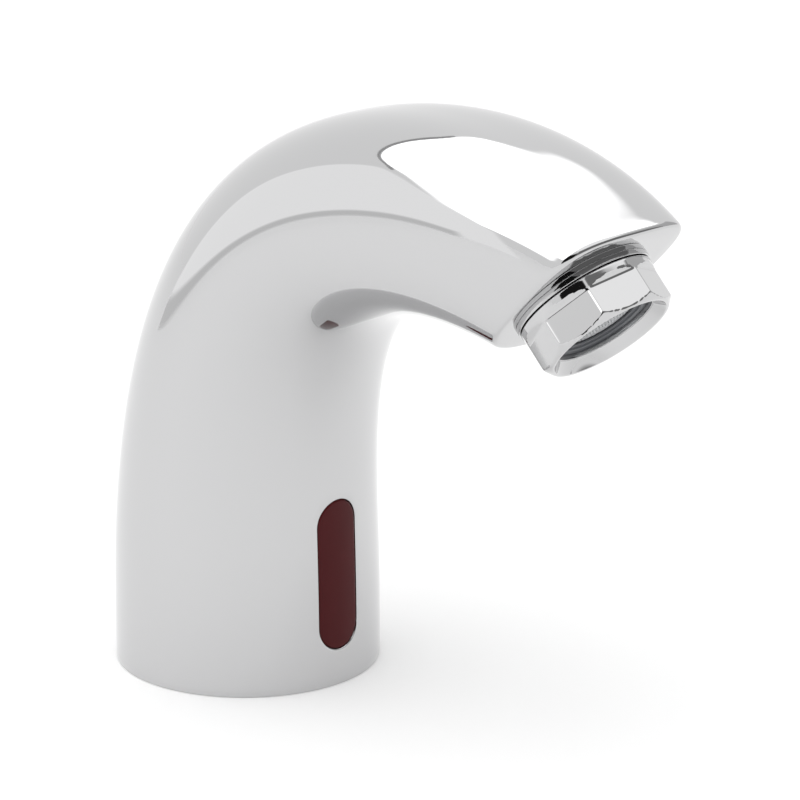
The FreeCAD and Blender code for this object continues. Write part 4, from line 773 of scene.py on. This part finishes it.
        gone = {(row, column) for row in range(low, high) for column in columns}
        gone |= {(inner_row(row + 1), column) for row in range(low, high) for column in columns}
        faces = [face for number, face in enumerate(faces) if (number // count, number % count) not in gone]
        loop = self.block_loop()
        outer_loop = [row * count + column for row, column in loop]
        inner_loop = [inner_row(row) * count + column for row, column in loop]
        outer = self.patch(0.0, self.slot_edge)
        inner = self.patch(self.wall, 0.0)
        lip = outer[-1]
        side, rise = self.slot.loop(lip[:, 0], lip[:, 2], 0.0)
        wall_top = np.stack([side, lip[:, 1] + self.slot_edge, rise], axis=-1)
        corner = np.stack([side, lip[:, 1], rise], axis=-1)
        arc = [
            lip * (1 - share) ** 2 + corner * 2 * share * (1 - share) + wall_top * share**2
            for share in (0.25, 0.5, 0.75, 1.0)
        ]
        bridge: Rings = outer + arc + inner[::-1]
        points = np.concatenate(rings + bridge)
        first = len(rings) * count
        size = len(loop)
        chain = [outer_loop]
        chain += [list(range(first + index * size, first + index * size + size)) for index in range(len(bridge))]
        chain.append(inner_loop)
        for before, after in zip(chain, chain[1:]):
            for step in range(size):
                ahead = (step + 1) % size
                faces.append((before[step], before[ahead], after[ahead], after[step]))
        return mesh_piece("spout_casting", points, faces, CHROME, 40.0)


@dataclass
class SensorWindow:
    """The dark red infrared window, curved like the column and set just inside its slot."""

    form: CastingForm = field(default_factory=CastingForm)
    slot: Slot = field(default_factory=Slot)
    gap: float = 0.08
    set_back: float = 0.12
    edge: float = 0.45
    back: float = 21.6
    side_points: int = 30
    end_points: int = 28

    def build(self) -> bpy.types.Object:
        """Make the window.

        Returns:
            The finished piece.
        """
        span = self.slot.top - self.slot.bottom - 2 * self.slot.half_width
        heights = np.linspace(-span / 2, span / 2, self.side_points, endpoint=False)
        turn = np.linspace(0.0, math.pi, self.end_points, endpoint=False)
        radius = self.slot.half_width - self.gap
        middle = (self.slot.top + self.slot.bottom) / 2
        straight = np.full(self.side_points, radius)
        x = np.concatenate([straight, radius * np.cos(turn), -straight, -radius * np.cos(turn)])
        z = np.concatenate([
            middle + heights, middle + span / 2 + radius * np.sin(turn),
            middle - heights, middle - span / 2 - radius * np.sin(turn),
        ])
        line, side, up = self.slot.outward(x, z)
        rings: Rings = []

        def front(distance: float, sink: float) -> np.ndarray:
            """A ring on the window's face at a distance from the middle line."""
            place_x, place_z = side * distance, line + up * distance
            guess = np.full(len(x), -math.pi / 2) + place_x / self.form.half_width[0]
            made = self.form.front_at(place_x, place_z, place_z.copy(), guess, self.set_back)
            made[:, 1] += sink
            return made

        for share in (0.0, 0.2, 0.4, 0.6, 0.8, 0.9):
            rings.append(front(share * radius, 0.0))
        for step in range(5):
            angle = step / 4 * math.pi / 2
            rings.append(front(radius - self.edge * (1 - math.sin(angle)), self.edge * (1 - math.cos(angle))))
        back = np.stack([x, np.full(len(x), -self.back), z], axis=-1)
        rings.append(back)
        rings.append(np.stack([np.zeros(len(x)), np.full(len(x), -self.back), line], axis=-1))
        return mesh_piece("infrared_window", np.concatenate(rings), belts(rings, False), WINDOW_RED, 50.0)


# ---------------------------------------------------------------- outlet


@dataclass(frozen=True)
class NippleSizes:
    """The nipple's radii and depths; depths count outward from the end face."""

    collar_radius: float = 14.4
    collar_height: float = 1.15
    thread_radius: float = 11.9
    thread_gap: float = 0.05
    thread_end: float = 5.9
    nose_radius: float = 11.4
    nose_end: float = 6.0
    shank_radius: float = 10.0
    shank_start: float = -5.0
    socket_radius: float = 6.5
    socket_start: float = -12.0
    chamber_radius: float = 9.6
    chamber_floor: float = -1.1
    throat_radius: float = 2.7
    throat: tuple[float, float] = (-3.15, -2.6)
    tube_radius: float = 3.55
    groove_radius: float = 4.75
    groove: tuple[float, float] = (-10.6, -9.4)


@dataclass(frozen=True)
class ShellSizes:
    """The shell's radii and depths; the flats run out towards its round top band."""

    start: float = 1.4
    end: float = 10.7
    bore: float = 12.0
    top_edge: float = 12.9
    top_radius: float = 14.2
    radius: float = 13.95
    band: float = 2.0
    bevel: float = 1.5
    lip_radius: float = 12.45
    lip_step: float = 0.02
    cone_radius: float = 12.35
    cone_floor: float = 10.8
    cone_depth: float = 2.5
    ledge_radius: float = 10.4
    ledge_depth: float = 3.5
    thread_gaps: tuple[float, float] = (0.1, 0.2)
    flats: int = 8
    flat_distance: float = 12.95
    flat_turn: float = -3.5
    flat_start: float = 3.9
    run_out: float = 1.1
    run_out_rise: float = 1.3
    crest_softness: float = 0.035
    points_per_flat: int = 30
    ring_step: float = 0.25


@dataclass(frozen=True)
class InsertSizes:
    """The radii and depths of the insert's cage."""

    start: float = -0.5
    bore: float = 8.4
    radius: float = 9.2
    flange_radius: float = 11.6
    flange: tuple[float, float] = (6.5, 7.15)
    mouth_radius: float = 8.9
    ledge_radius: float = 8.0
    ledge: tuple[float, float] = (6.3, 6.7)


@dataclass(frozen=True)
class ScreenSizes:
    """The woven screen's sizes."""

    pitch: float = 0.95
    wire: float = 0.15
    radius: float = 8.25
    depth: float = 6.0
    dome: float = 0.85
    wire_sides: int = 6
    rim_points: int = 96


@dataclass
class AeratorSet:
    """Everything on the outlet's axis: collar, shell with wrench flats, insert and screen."""

    outlet: Outlet = field(default_factory=Outlet)
    nipple_sizes: NippleSizes = field(default_factory=NippleSizes)
    shell_sizes: ShellSizes = field(default_factory=ShellSizes)
    insert_sizes: InsertSizes = field(default_factory=InsertSizes)
    screen_sizes: ScreenSizes = field(default_factory=ScreenSizes)
    thread_pitch: float = 1.0
    thread_depth: float = 0.32
    thread_crest: float = 1.5
    thread_slope: float = 4.8
    rings_per_turn: int = 8
    fading_rings: int = 4
    segments: int = 144

    def thread(
        self, root: float, start: float, stop: float, angles: np.ndarray, inward: bool
    ) -> list[tuple[np.ndarray, float]]:
        """Rings of a screw thread.

        Args:
            root: radius of the thread's crest outside, or of its root inside.
            start: depth where it starts.
            stop: depth where it ends.
            angles: directions round the axis.
            inward: True for a thread in a hole.

        Returns:
            Pairs of the radii round one ring and its depth.
        """
        steps = max(2, int(round(abs(stop - start) / self.thread_pitch * self.rings_per_turn)))
        rings = []
        for index in range(steps + 1):
            depth = start + (stop - start) * index / steps
            phase = (depth / self.thread_pitch + angles / (2 * math.pi)) % 1.0
            ridge = np.clip(self.thread_crest - self.thread_slope * np.abs(phase - 0.5), 0.0, 1.0)
            fade = min(1.0, index / self.fading_rings, (steps - index) / self.fading_rings)
            change = ridge if inward else ridge - 1
            rings.append((root + self.thread_depth * change * fade, depth))
        return rings

    def nipple(self) -> bpy.types.Object:
        """The collar with its outside thread, chamber and socket."""
        axis, sizes = self.outlet.axis(), self.nipple_sizes
        angles = np.linspace(0.0, 2 * math.pi, self.segments, endpoint=False)
        deep, shallow = sizes.groove
        throat_back, throat_front = sizes.throat
        outside = rounded([
            (sizes.tube_radius, sizes.socket_start, 0.0), (sizes.socket_radius, sizes.socket_start, 0.4),
            (sizes.socket_radius, sizes.shank_start, 0.0), (sizes.shank_radius, sizes.shank_start, 0.2),
            (sizes.shank_radius, 0.0, 0.0), (sizes.collar_radius, 0.0, 0.12),
            (sizes.collar_radius, sizes.collar_height, 0.2), (sizes.thread_radius, sizes.collar_height, 0.0),
        ])
        inside = rounded([
            (sizes.nose_radius, sizes.nose_end, 0.0), (sizes.chamber_radius, sizes.nose_end, 0.25),
            (sizes.chamber_radius, sizes.chamber_floor, 0.4), (sizes.throat_radius, throat_front, 0.2),
            (sizes.throat_radius, throat_back, 0.0), (sizes.tube_radius, throat_back, 0.0),
            (sizes.tube_radius, shallow, 0.0), (sizes.groove_radius, shallow, 0.0),
            (sizes.groove_radius, deep, 0.0), (sizes.tube_radius, deep, 0.0),
        ])
        start = sizes.collar_height + sizes.thread_gap
        turns = self.thread(sizes.thread_radius, start, sizes.thread_end, angles, False)
        rings = [axis.ring(radius, angles, depth) for radius, depth in outside + turns + inside]
        return mesh_piece("outlet_collar", np.concatenate(rings), belts(rings, True), CHROME)

    def shell_angles(self) -> tuple[np.ndarray, np.ndarray]:
        """Directions round the shell, closer together at the crests.

        Returns:
            Their angles from the middle of their own flat, and their angles round the axis.
        """
        sizes = self.shell_sizes
        half = math.pi / sizes.flats
        even = np.linspace(-half, half, sizes.points_per_flat, endpoint=False)
        local = half * np.sin(even / half * math.pi / 2)
        first = math.radians(sizes.flat_turn) + half
        return local, np.concatenate([first + 2 * half * index + local for index in range(sizes.flats)])

    def shell_outline(self) -> list[tuple[float, float]]:
        """The shell's outside as (radius, depth) points, before the flats cut it."""
        sizes = self.shell_sizes
        start, end = sizes.start, sizes.end
        lip_rest = 5  # the lip's rounding stops short here, and the cone takes it up
        outside = rounded([
            (sizes.top_edge, start, 0.0), (sizes.top_radius, start, 0.18), (sizes.radius, start + sizes.band, 0.8),
            (sizes.radius, end - sizes.bevel, 0.9), (sizes.lip_radius, end, 0.25),
        ], 8)[:-lip_rest]
        fine = []
        for (radius, depth), (next_radius, next_depth) in zip(outside, outside[1:]):
            parts = max(1, int(abs(next_depth - depth) / sizes.ring_step))
            fine += [
                (radius + (next_radius - radius) * part / parts, depth + (next_depth - depth) * part / parts)
                for part in range(parts)
            ]
        return fine + [outside[-1]]

    def shell(self) -> bpy.types.Object:
        """The shell: turned form cut by wrench flats, with the cone and ledge inside."""
        axis, sizes = self.outlet.axis(), self.shell_sizes
        local, angles = self.shell_angles()
        end, soft, bore = sizes.end, sizes.crest_softness, sizes.bore
        rings = []
        for radius, depth in self.shell_outline():
            ramp = min(max(0.0, sizes.flat_start - depth) / sizes.run_out, 1.0)
            flat = np.tile((sizes.flat_distance + sizes.run_out_rise * ramp**2) / np.cos(local), sizes.flats)
            blended = -soft * np.log(np.exp(-(radius - bore) / soft) + np.exp(-(flat - bore) / soft)) + bore
            rings.append(axis.ring(blended, angles, depth))
        cone_end, ledge_end = end - sizes.cone_depth, end - sizes.ledge_depth
        inner_gap, outer_gap = sizes.thread_gaps
        cone = rounded([
            (sizes.cone_radius, end - sizes.lip_step, 0.08), (sizes.cone_floor, cone_end, 0.12),
            (sizes.ledge_radius, cone_end, 0.1), (sizes.ledge_radius, ledge_end, 0.1), (bore - inner_gap, ledge_end, 0.0),
        ])[4:]
        turns = self.thread(bore, ledge_end - inner_gap, sizes.start + outer_gap, angles, True)
        rings += [axis.ring(radius, angles, depth) for radius, depth in cone + turns]
        return mesh_piece("aerator_shell", np.concatenate(rings), belts(rings, True), CHROME, 30.0)

    def insert(self) -> bpy.types.Object:
        """The insert's cage with its flange and the rim round the screen."""
        sizes = self.insert_sizes
        back, front = sizes.flange
        under, over = sizes.ledge
        profile = rounded([
            (sizes.bore, sizes.start, 0.1), (sizes.radius, sizes.start, 0.25), (sizes.radius, back, 0.0),
            (sizes.flange_radius, back, 0.1), (sizes.flange_radius, front, 0.15), (sizes.mouth_radius, front, 0.2),
            (sizes.mouth_radius, over, 0.1), (sizes.ledge_radius, over, 0.1), (sizes.ledge_radius, under, 0.1),
            (sizes.bore, under, 0.0),
        ])
        return turned_piece("insert_cage", self.outlet.axis(), profile, PLASTIC_GREY)

    def screen(self) -> bpy.types.Object:
        """The woven steel screen, grown by Geometry Nodes."""
        sizes = self.screen_sizes
        tree = Tree("woven_screen", {
            "Radius": sizes.radius * MM, "Pitch": sizes.pitch * MM, "Wire": sizes.wire * MM, "Dome": sizes.dome * MM,
        })
        width = tree.sum("MULTIPLY", "Radius", 2.0)
        spans = tree.sum("CEIL", tree.sum("DIVIDE", width, "Pitch"))
        count = tree.sum("ADD", spans, 1.0)
        side = tree.sum("MULTIPLY", spans, "Pitch")
        grid = tree.add("GeometryNodeMeshGrid", {
            "Size X": side, "Size Y": side, "Vertices X": count, "Vertices Y": count,
        })
        parts = tree.add("ShaderNodeSeparateXYZ", {0: tree.add("GeometryNodeInputPosition").outputs[0]})
        squares = [tree.sum("POWER", parts.outputs[name], 2.0) for name in ("X", "Y")]
        away = tree.sum("SQRT", tree.sum("ADD", *squares))
        outside = tree.add("FunctionNodeCompare", {0: away, 1: "Radius"}, operation="GREATER_THAN")
        kept = tree.add("GeometryNodeDeleteGeometry", {
            "Geometry": grid.outputs["Mesh"], "Selection": outside.outputs[0],
        })
        share = tree.sum("SUBTRACT", 1.0, tree.sum("POWER", tree.sum("DIVIDE", away, "Radius"), 2.0))
        lift = tree.add("ShaderNodeCombineXYZ", {"Z": tree.sum("MULTIPLY", share, "Dome")})
        domed = tree.add("GeometryNodeSetPosition", {"Geometry": kept.outputs[0], "Offset": lift.outputs[0]})
        wires = tree.add("GeometryNodeMeshToCurve", {"Mesh": domed.outputs[0]})
        profile = tree.add("GeometryNodeCurvePrimitiveCircle", {"Resolution": sizes.wire_sides, "Radius": "Wire"})
        solid = tree.add("GeometryNodeCurveToMesh", {
            "Curve": wires.outputs[0], "Profile Curve": profile.outputs[0], "Fill Caps": True,
        })
        rim_path = tree.add("GeometryNodeCurvePrimitiveCircle", {
            "Resolution": sizes.rim_points, "Radius": "Radius",
        })
        rim = tree.add("GeometryNodeCurveToMesh", {
            "Curve": rim_path.outputs[0], "Profile Curve": profile.outputs[0],
        })
        both = tree.add("GeometryNodeJoinGeometry")
        for source in (solid, rim):
            tree.tree.links.new(source.outputs[0], both.inputs[0])
        tree.finish(both.outputs[0], STEEL)
        axis = self.outlet.axis()
        middle = tuple(np.array(axis.origin) + np.array(axis.out) * sizes.depth)
        return tree.grow("woven_screen", Axis(middle, axis.side, axis.up, axis.out).matrix())

    def build(self) -> None:
        """Make and place every piece of the outlet."""
        place(self.nipple(), Body.TAP, "outlet_nipple")
        place(self.shell(), Body.SHELL, "aerator_housing")
        place(self.insert(), Body.INSERT, "aerator_cage")
        place(self.screen(), Body.INSERT, "outlet_screen")


# ---------------------------------------------------------------- carried-over pieces


DRESSED: dict[str, Finish] = {
    "base_plate": BRASS, "base_screws": SCREW_STEEL, "foot_seal": RUBBER_BLACK, "cable_grommet": RUBBER_BLACK,
    "inlet_adapter": BRASS, "inlet_seal": RUBBER_BLACK, "inlet_strainer": STEEL, "valve_body": PLASTIC_WHITE,
    "valve_diaphragm": RUBBER_BLACK, "diaphragm_support": PLASTIC_WHITE, "valve_bonnet": PLASTIC_GREY,
    "bonnet_screws": SCREW_STEEL, "core_tube": STEEL, "fixed_core": STEEL, "plunger": STEEL,
    "plunger_seal": RUBBER_BLACK, "plunger_spring": STEEL, "coil_bobbin": PLASTIC_WHITE, "coil_winding": COPPER,
    "coil_yoke": STEEL, "coil_nut": SCREW_STEEL, "coil_lead": LEAD_BLACK, "water_tube": STEEL,
    "tube_seals": RUBBER_BLACK, "aerator_seal": RUBBER_BLACK, "jet_disc": PLASTIC_WHITE,
    "flow_regulator": PLASTIC_GREY, "regulator_ring": RUBBER_BLACK, "window_gasket": RUBBER_BLACK,
    "sensor_case": PLASTIC_BLACK, "sensor_cover": PLASTIC_BLACK, "sensor_board": BOARD, "ir_emitter": LENS_DARK,
    "ir_receiver": LENS_DARK, "status_led": LENS_RED, "sensor_screws": SCREW_STEEL,
}


def dress_frame() -> None:
    """Give every CAD node that stays its own finish."""
    for node, finish in DRESSED.items():
        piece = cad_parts[node]
        if not piece.data.materials:
            piece.data.materials.append(None)
        for index in range(len(piece.material_slots)):
            piece.material_slots[index].material = finish.material()
        LOG.info("%s dressed in %s", node, finish.name)


# ---------------------------------------------------------------- studio


TENT_CENTRE = Vector((0.0, -60.0, 95.0))


def curve_through(points: np.ndarray, closed: bool, parts: int = 5) -> np.ndarray:
    """Draw a smooth curve through points.

    Args:
        points: one row per point.
        closed: whether the last point joins the first.
        parts: steps from each point to the next.

    Returns:
        The points of the curve, the given ones among them.
    """
    if closed:
        knots = np.vstack([points[-1:], points, points[:2]])
    else:
        knots = np.vstack([points[:1], points, points[-1:]])
    rows = []
    for before, here, after, beyond in zip(knots, knots[1:], knots[2:], knots[3:]):
        slope = after - before
        bow = 2.0 * before - 5.0 * here + 4.0 * after - beyond
        twist = 3.0 * (here - after) + beyond - before
        for share in np.arange(parts) / parts:
            rows.append(here + 0.5 * share * (slope + share * (bow + share * twist)))
    if not closed:
        rows.append(points[-1])
    return np.array(rows)


def emitting(
    name: str, points: list[Vector], faces: list[tuple[int, ...]], glows: list[float], strength: float
) -> None:
    """Make a card that only mirror rays see.

    Args:
        name: its name.
        points: its points, in millimetres.
        faces: its faces.
        glows: how solid it is at each point, from 0 to 1.
        strength: its brightness.
    """
    data = bpy.data.meshes.new(name)
    data.from_pydata([tuple(point * MM) for point in points], [], faces)
    data.attributes.new("glow", "FLOAT", "POINT").data.foreach_set("value", glows)
    paint = bpy.data.materials.new(name)
    paint.use_nodes = True
    tree = paint.node_tree
    tree.nodes.remove(tree.nodes["Principled BSDF"])
    shine = add_node(tree, "ShaderNodeEmission", {"Strength": strength})
    clear = add_node(tree, "ShaderNodeBsdfTransparent")
    border = add_node(tree, "ShaderNodeAttribute", attribute_name="glow")
    ease = add_node(tree, "ShaderNodeMapRange", {"Value": border.outputs["Fac"]}, interpolation_type="SMOOTHSTEP")
    mix = add_node(tree, "ShaderNodeMixShader", {
        "Fac": ease.outputs["Result"], 1: clear.outputs["BSDF"], 2: shine.outputs["Emission"],
    })
    feed(tree, tree.nodes["Material Output"], {"Surface": mix.outputs["Shader"]})
    data.materials.append(paint)
    card = linked(name, data)
    card.visible_camera = card.visible_diffuse = card.visible_shadow = card.visible_volume_scatter = False


@dataclass(frozen=True)
class Card:
    """A level card of the light tent that only the polished surfaces see, with a soft edge.

    Each corner is a place and the width by which the glow fades beyond it.
    """

    name: str
    height: float
    strength: float
    corners: tuple[tuple[float, float, float], ...]

    def build(self) -> None:
        """Make the card as a flat emitting face with a fading border."""
        corners = curve_through(np.array(self.corners), True)
        inner = [Vector((x, y, self.height)) for x, y, _ in corners]
        count = len(inner)
        middle = sum(inner, Vector()) / count
        spokes = [point - middle for point in inner]
        turns = (spoke.cross(spokes[(index + 1) % count]) for index, spoke in enumerate(spokes))
        normal = sum(turns, Vector()).normalized()
        outer = []
        for index, here in enumerate(inner):
            before = (here - inner[index - 1]).normalized().cross(normal)
            after = (inner[(index + 1) % count] - here).normalized().cross(normal)
            outward = (before + after).normalized()
            outer.append(here + outward * corners[index][2] / max(MITRE_LIMIT, outward.dot(after)))
        faces = [tuple(range(count))]
        faces += [(i, (i + 1) % count, count + (i + 1) % count, count + i) for i in range(count)]
        emitting(self.name, inner + outer, faces, [1.0] * count + [0.0] * count, self.strength)


@dataclass(frozen=True)
class Wall:
    """A curved wall of the light tent round the tap, given by directions seen from it.

    Each column is an azimuth with its lowest and highest elevation, in degrees; azimuth 0 looks along -Y.
    """

    name: str
    strength: float
    fade: float
    distance: float
    columns: tuple[tuple[float, float, float], ...]
    rows: int = 6

    def point(self, azimuth: float, elevation: float) -> Vector:
        """The wall's point in a direction."""
        turn, tilt = math.radians(azimuth), math.radians(elevation)
        away = Vector((math.sin(turn) * math.cos(tilt), -math.cos(turn) * math.cos(tilt), math.sin(tilt)))
        return TENT_CENTRE + away * self.distance

    def build(self) -> None:
        """Make the wall as a strip of emitting quads with fading borders."""
        columns = [tuple(column) for column in curve_through(np.array(self.columns), False)]
        first, last = columns[0], columns[-1]
        columns = [(first[0] - self.fade, *first[1:])] + columns + [(last[0] + self.fade, *last[1:])]
        points, glows, faces = [], [], []
        for number, (azimuth, low, high) in enumerate(columns):
            steps = [low - self.fade, *(low + (high - low) * row / self.rows for row in range(self.rows + 1))]
            steps.append(high + self.fade)
            for row, elevation in enumerate(steps):
                points.append(self.point(azimuth, elevation))
                inside = 0 < row < len(steps) - 1 and 0 < number < len(columns) - 1
                glows.append(1.0 if inside else 0.0)
        height = self.rows + 3
        for number in range(len(columns) - 1):
            for row in range(height - 1):
                here = number * height + row
                faces.append((here, here + height, here + height + 1, here + 1))
        emitting(self.name, points, faces, glows, self.strength)


TENT = (
    Card("ceiling_softbox", 1100.0, 2.6, (
        (-7600.0, 3120.0, 600.0), (-4150.0, 1950.0, 350.0), (-2420.0, 1330.0, 160.0), (-1300.0, 1010.0, 60.0),
        (-760.0, 985.0, 22.0), (-400.0, 960.0, 14.0), (240.0, 800.0, 14.0), (640.0, 790.0, 16.0),
        (1180.0, 900.0, 60.0), (1160.0, 560.0, 110.0), (1040.0, 270.0, 120.0), (960.0, 20.0, 120.0),
        (930.0, -280.0, 120.0), (-2400.0, -280.0, 200.0), (-2750.0, 330.0, 300.0), (-5500.0, 1320.0, 600.0),
    )),
    Card("ceiling_seam", 1112.0, 0.4, (
        (-1000.0, 1075.0, 10.0), (-760.0, 1040.0, 10.0), (-400.0, 1010.0, 10.0), (240.0, 860.0, 10.0),
        (640.0, 845.0, 10.0), (900.0, 905.0, 10.0), (640.0, 790.0, 10.0), (240.0, 800.0, 10.0),
        (-400.0, 935.0, 10.0), (-760.0, 970.0, 10.0),
    )),
    Card("front_ceiling", 1100.0, 1.32, (
        (-500.0, -420.0, 100.0), (900.0, -420.0, 100.0), (900.0, -900.0, 100.0), (-500.0, -900.0, 100.0),
    )),
    Wall("left_wall", 1.24, 1.6, 620.0, (
        (-167.5, -7.9, -4.0), (-166.0, -7.6, 9.0), (-163.0, -7.0, 16.0), (-158.0, -6.6, 22.0), (-150.0, -6.0, 29.0),
        (-141.0, -5.0, 33.0), (-131.0, -4.0, 29.0), (-123.0, -4.5, 22.0), (-117.0, -7.0, 14.0), (-110.0, -7.0, 6.0),
    )),
    Wall("left_seam", 0.8, 1.6, 610.0, (
        (-168.0, -8.2, -6.6), (-164.0, -8.1, -6.5), (-158.0, -7.7, -6.1), (-150.0, -7.1, -5.6),
        (-141.0, -6.2, -4.7), (-131.0, -5.2, -3.7), (-123.0, -5.6, -4.1), (-117.0, -7.6, -6.2),
    )),
    Wall("dark_front", 0.22, 3.0, 2600.0, (
        (-42.0, 3.0, 46.0), (0.0, 3.0, 46.0), (30.0, 3.0, 46.0), (53.0, 3.0, 40.0),
    )),
    Wall("grey_right", 0.6, 3.0, 2600.0, ((56.0, -3.0, 40.0), (90.0, -3.0, 30.0))),
    Wall("dark_post", 0.012, 1.5, 2500.0, (
        (-82.0, 6.0, 20.0), (-75.0, -2.0, 32.0), (-48.0, -2.0, 34.0), (-44.0, 0.0, 30.0),
    )),
)


def seen_directly(tree: bpy.types.NodeTree) -> bpy.types.NodeSocket:
    """Nodes that tell rays from the camera, a mirror or glass from the rest.

    Args:
        tree: the material's or world's tree.

    Returns:
        A socket that is 1 for those rays and 0 for others.
    """
    path = add_node(tree, "ShaderNodeLightPath").outputs
    either = path["Is Camera Ray"]
    for kind in ("Is Glossy Ray", "Is Transmission Ray"):
        either = add_node(tree, "ShaderNodeMath", {0: either, 1: path[kind]}, operation="MAXIMUM").outputs["Value"]
    return either


@dataclass
class Studio:
    """Floor, light tent, lamp and the camera that looks as the photograph does."""

    azimuth: float = -45.18
    elevation: float = 17.30
    distance: float = 900.0
    lens: float = 193.94
    sensor: float = 36.0
    shift_right: float = 31.64
    shift_up: float = 52.28
    floor_half: float = 3000.0
    floor_albedo: float = 0.92
    floor_lift: float = 0.13
    fill: float = 0.95
    lamp_at: tuple[float, float, float] = (-250.0, -100.0, 900.0)
    lamp_side: float = 600.0
    lamp_power: float = 1.2
    lamp_aim: tuple[float, float, float] = (0.0, -40.0, 60.0)

    def camera(self) -> None:
        """Place the camera."""
        turn, tilt = math.radians(self.azimuth), math.radians(self.elevation)
        right = Vector((math.cos(turn), math.sin(turn), 0.0))
        back = Vector((math.sin(turn) * math.cos(tilt), -math.cos(turn) * math.cos(tilt), math.sin(tilt)))
        up = back.cross(right)
        data = bpy.data.cameras.new("photo_camera")
        data.lens, data.sensor_width, data.sensor_fit = self.lens, self.sensor, "HORIZONTAL"
        data.clip_start, data.clip_end = 0.01, 50.0
        camera = linked("photo_camera", data)
        camera.matrix_world = Matrix.Translation(
            (back * self.distance + right * self.shift_right + up * self.shift_up) * MM
        ) @ Matrix((right, up, back)).transposed().to_4x4()
        bpy.context.scene.camera = camera

    def world(self) -> None:
        """A pale world that camera and mirror rays see as white."""
        world = bpy.data.worlds.new("light_tent")
        bpy.context.scene.world = world
        world.use_nodes = True
        tree = world.node_tree
        filling = tree.nodes["Background"]
        feed(tree, filling, {"Color": WHITE, "Strength": self.fill})
        white = add_node(tree, "ShaderNodeBackground", {"Color": WHITE, "Strength": 1.0})
        mix = add_node(tree, "ShaderNodeMixShader", {
            "Fac": seen_directly(tree), 1: filling.outputs["Background"], 2: white.outputs["Background"],
        })
        feed(tree, tree.nodes["World Output"], {"Surface": mix.outputs["Shader"]})

    def floor(self) -> None:
        """The plain pale floor."""
        data = bpy.data.meshes.new("studio_floor")
        half = self.floor_half * MM
        corners = [(-half, -half, 0.0), (half, -half, 0.0), (half, half, 0.0), (-half, half, 0.0)]
        data.from_pydata(corners, [], [(0, 1, 2, 3)])
        paint = bpy.data.materials.new("studio_paper")
        paint.use_nodes = True
        tree = paint.node_tree
        lift = add_node(tree, "ShaderNodeMath", {0: seen_directly(tree), 1: self.floor_lift}, operation="MULTIPLY")
        feed(tree, tree.nodes["Principled BSDF"], {
            "Base Color": (self.floor_albedo,) * 3 + (1.0,), "Roughness": 0.9, "Specular IOR Level": 0.2,
            "Emission Color": WHITE, "Emission Strength": lift.outputs["Value"],
        })
        data.materials.append(paint)
        linked("studio_floor", data)

    def lamp(self) -> None:
        """A softbox overhead that lights the tap and the floor."""
        data = bpy.data.lights.new("top_softbox", "AREA")
        data.shape, data.energy = "RECTANGLE", self.lamp_power
        data.size = data.size_y = self.lamp_side * MM
        lamp = linked("top_softbox", data)
        lamp.visible_glossy = False
        spot = Vector(self.lamp_at) * MM
        lamp.location = spot
        lamp.rotation_mode = "QUATERNION"
        lamp.rotation_quaternion = (Vector(self.lamp_aim) * MM - spot).to_track_quat("-Z", "Y")

    def build(self) -> None:
        """Set up the whole studio."""
        self.camera()
        self.world()
        self.floor()
        self.lamp()
        for part in TENT:
            part.build()


def main() -> None:
    """Build the tap's looks in order."""
    logging.basicConfig(level=logging.INFO, format="%(name)s: %(message)s")
    bpy.context.scene.view_settings.view_transform = "Standard"
    Studio().build()
    dress_frame()
    place(Casting().build(), Body.TAP, "spout_body")
    place(SensorWindow().build(), Body.TAP, "sensor_window")
    AeratorSet().build()


if __name__ == "__main__":
    main()
